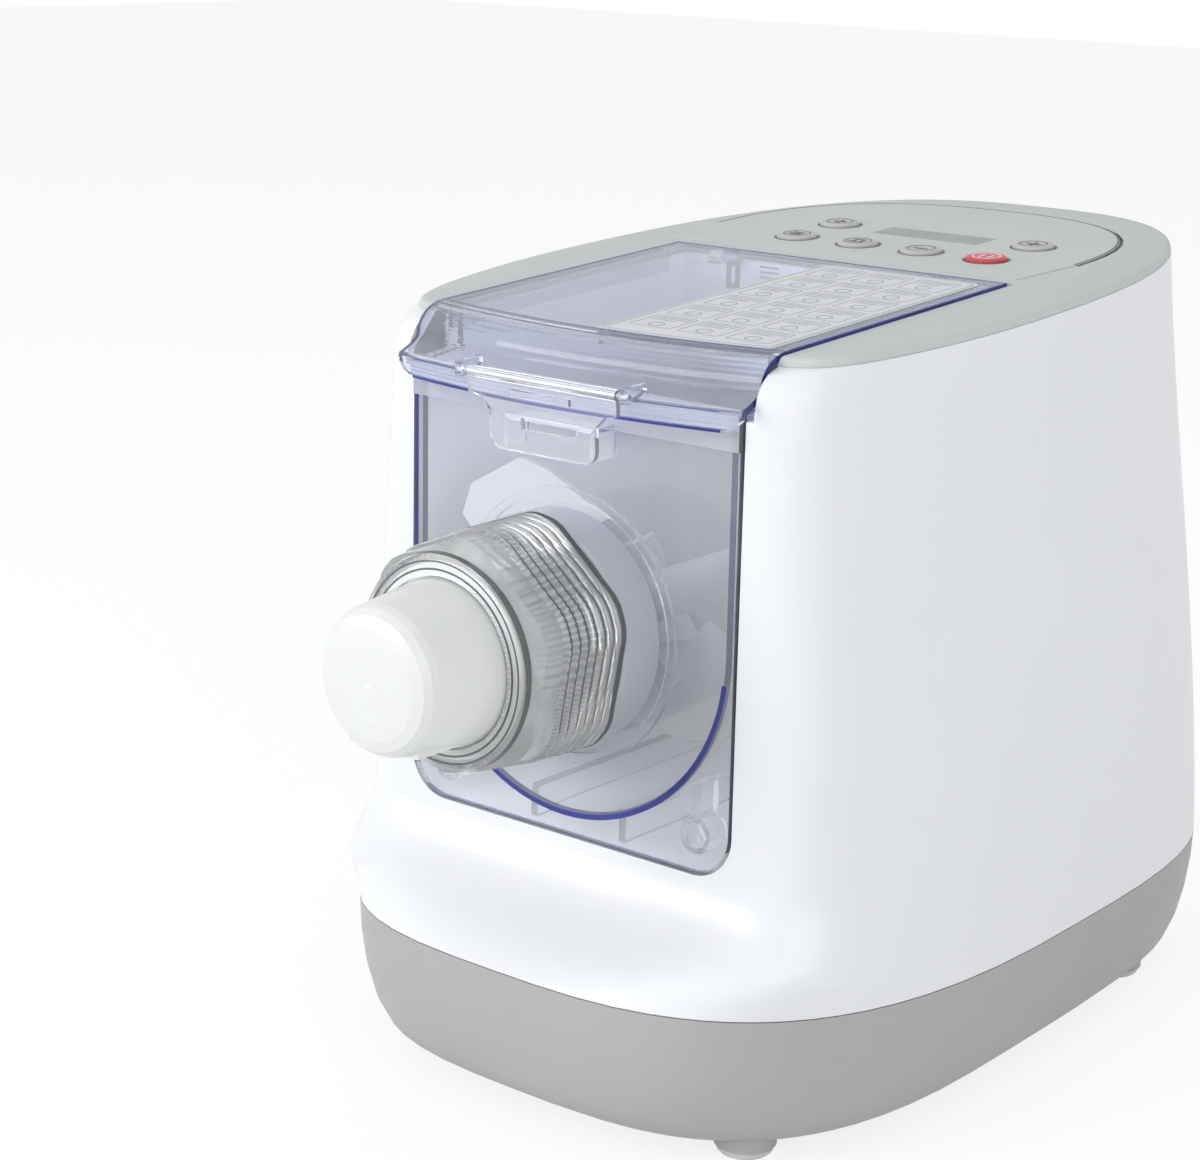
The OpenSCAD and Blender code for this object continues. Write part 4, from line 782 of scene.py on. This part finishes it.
# ---- Button marks: heights in the frame of the top, outer and inner radii, and bars of each symbol ----
SYMBOL_HEIGHTS = (1.4 * MM, 1.9 * MM)
RING_HEIGHTS = (1.4 * MM, 1.98 * MM)
GAP_HEIGHTS = (OVERLAY_TOP + 0.02 * MM, OVERLAY_TOP + 0.1 * MM)
BUTTON_RING = (5.6 * MM, 5.0 * MM)
BUTTON_GAP = (9.1 * MM, 8.35 * MM)
SYMBOLS_MM = {
    "button_menu": [(-3, -2.6, 3, -1.8), (-3, -0.4, 3, 0.4), (-3, 1.8, 3, 2.6)],
    "button_weight": [(-3.2, -2.6, 3.2, -1.8), (-2.2, -1.8, -1.4, 2.2), (1.4, -1.8, 2.2, 2.2),
                      (-2.2, 2.2, 2.2, 3)],
    "button_minus": [(-3, -0.5, 3, 0.5)],
    "button_plus": [(-3, -0.5, 3, 0.5), (-0.5, 0.5, 0.5, 3), (-0.5, -3, 0.5, -0.5)],
    "button_mix": [(-3, -0.4, -0.6, 0.4), (0.6, -0.4, 3, 0.4), (-0.4, -3, 0.4, -0.6), (-0.4, 0.6, 0.4, 3)],
    "button_start": [(-2.4, -2.4, -1.4, 2.4), (1.4, -2.4, 2.4, 2.4)],
}


def button_marks(looks):
    """A ring and a plain symbol on each button, and a painted shadow line for the gap round it."""
    place = top_frame()
    for name, bars in SYMBOLS_MM.items():
        low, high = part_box(name)
        middle = place.inverted() @ ((low + high) / 2)
        local = place @ Matrix.Translation((middle.x, middle.y, 0))
        parts = [slab(rectangle(*(side * MM for side in bar)), *SYMBOL_HEIGHTS, local) for bar in bars]
        outer, inner = (circle(r) for r in BUTTON_RING)
        parts.append(frame_slab(outer, inner, *RING_HEIGHTS, local))
        look = "mark_pale" if name == "button_start" else "mark"
        piece = mesh_piece(name + "_symbol", *join_slabs(parts), looks[look], name)
        # The gap round each button: a painted shadow line on the overlay
        outer, inner = (circle(r) for r in BUTTON_GAP)
        ring = frame_slab(outer, inner, *GAP_HEIGHTS, local)
        gap = mesh_piece(name + "_gap_shadow", *ring, looks["mark"], "base")


# ---------------------------------------------------------------- studio

# ---- World, floor and lamps; a lamp is its name, place, width in metres and power in watts ----
WORLD_COLOR = (0.95, 0.97, 1.0, 1)
WORLD_STRENGTH = 0.56
FLOOR_HALF = 6.0
FLOOR_GLOW = 1.05
FLOOR_GLOW_SHARE = 0.78
LAMP_AIM = Vector((0, 0, 0.15))
LAMPS = [("key", (-1.3, -2.0, 1.0), 1.6, 36), ("fill", (1.85, -1.1, 1.0), 1.8, 16.5),
         ("top", (0.1, 0.3, 2.4), 1.6, 6)]


def shown_to_eye(nodes, links, plain, seen):
    """Shows the second shader to the eye and to mirrors and glass, and the first to everything else."""
    path = nodes.new("ShaderNodeLightPath")
    add = nodes.new("ShaderNodeMath")
    add.operation = "ADD"
    links.new(path.outputs["Is Camera Ray"], add.inputs[0])
    links.new(path.outputs["Is Glossy Ray"], add.inputs[1])
    both = nodes.new("ShaderNodeMath")
    both.operation = "ADD"
    both.use_clamp = True
    links.new(add.outputs[0], both.inputs[0])
    links.new(path.outputs["Is Transmission Ray"], both.inputs[1])
    mix = nodes.new("ShaderNodeMixShader")
    links.new(both.outputs[0], mix.inputs["Fac"])
    links.new(plain, mix.inputs[1])
    links.new(seen, mix.inputs[2])
    return mix.outputs[0]


def floor_material():
    """White floor: seen mostly by its own light, so that it stays white, and lit enough for shadows."""
    material, nodes, links, shader = new_material("floor_white")
    shader.inputs["Base Color"].default_value = (0.9, 0.9, 0.9, 1)
    shader.inputs["Roughness"].default_value = 0.9
    glow = nodes.new("ShaderNodeEmission")
    glow.inputs["Strength"].default_value = FLOOR_GLOW
    seen = nodes.new("ShaderNodeMixShader")
    seen.inputs["Fac"].default_value = FLOOR_GLOW_SHARE
    links.new(shader.outputs[0], seen.inputs[1])
    links.new(glow.outputs[0], seen.inputs[2])
    links.new(shown_to_eye(nodes, links, shader.outputs[0], seen.outputs[0]),
              nodes["Material Output"].inputs["Surface"])
    return material


def backdrop():
    """A soft world light that the eye, mirrors and glass see as plain white."""
    world = bpy.data.worlds.new("studio")
    bpy.context.scene.world = world
    world.use_nodes = True
    nodes, links = world.node_tree.nodes, world.node_tree.links
    background = nodes["Background"]
    background.inputs["Color"].default_value = WORLD_COLOR
    background.inputs["Strength"].default_value = WORLD_STRENGTH
    seen = nodes.new("ShaderNodeBackground")
    seen.inputs["Color"].default_value = (1, 1, 1, 1)
    seen.inputs["Strength"].default_value = 1.0
    links.new(shown_to_eye(nodes, links, background.outputs[0], seen.outputs[0]),
              nodes["World Output"].inputs["Surface"])


def pale_floor():
    """The floor, which isn't part of the object."""
    corners = rectangle(-FLOOR_HALF, -FLOOR_HALF, FLOOR_HALF, FLOOR_HALF)
    mesh = bpy.data.meshes.new("floor")
    mesh.from_pydata([(x, y, 0) for x, y in corners], [], [[0, 1, 2, 3]])
    floor = bpy.data.objects.new("floor", mesh)
    bpy.context.scene.collection.objects.link(floor)
    mesh.materials.append(floor_material())


def lamp(name, place, size, power):
    """A square soft lamp, size metres wide and power watts strong, aimed at the object."""
    light = bpy.data.lights.new(name, "AREA")
    light.shape = "SQUARE"
    light.size = size
    light.energy = power
    thing = bpy.data.objects.new(name, light)
    bpy.context.scene.collection.objects.link(thing)
    thing.location = place
    aim = LAMP_AIM - Vector(place)
    thing.rotation_euler = aim.to_track_quat("-Z", "Y").to_euler()


def studio():
    """A pale floor, a white background and broad soft lamps."""
    backdrop()
    pale_floor()
    for name, place, size, power in LAMPS:
        lamp(name, place, size, power)


def camera():
    """The photograph's camera."""
    data = bpy.data.cameras.new("camera")
    data.lens = CAMERA_LENS
    data.sensor_width = CAMERA_SENSOR
    data.shift_x, data.shift_y = CAMERA_SHIFT
    data.clip_start, data.clip_end = CAMERA_CLIP
    thing = bpy.data.objects.new("camera", data)
    bpy.context.scene.collection.objects.link(thing)
    right = Vector((math.cos(CAMERA_AZIMUTH), math.sin(CAMERA_AZIMUTH), 0))
    level = Vector((math.sin(CAMERA_AZIMUTH), -math.cos(CAMERA_AZIMUTH), 0))
    back = math.cos(CAMERA_ELEVATION) * level + Vector((0, 0, math.sin(CAMERA_ELEVATION)))
    up = back.cross(right)
    cosine, sine = math.cos(CAMERA_ROLL), math.sin(CAMERA_ROLL)
    axes = [cosine * right + sine * up, cosine * up - sine * right, back]
    turn = Matrix(axes).transposed()
    thing.matrix_world = Matrix.Translation(CAMERA_PLACE) @ turn.to_4x4()
    bpy.context.scene.camera = thing


def main():
    """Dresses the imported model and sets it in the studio."""
    scene = bpy.context.scene
    scene.view_settings.view_transform = "Standard"
    camera()
    looks = make_materials()
    dress_cad(looks)
    smooth_nodes()
    dress_faces(looks)
    lid_film(looks)
    button_marks(looks)
    plate_border(looks)
    nut_rings(looks)
    lid_lines(looks)
    tub_edge_line(looks)
    control_line(looks)
    tub_details(looks)
    studio()


main()
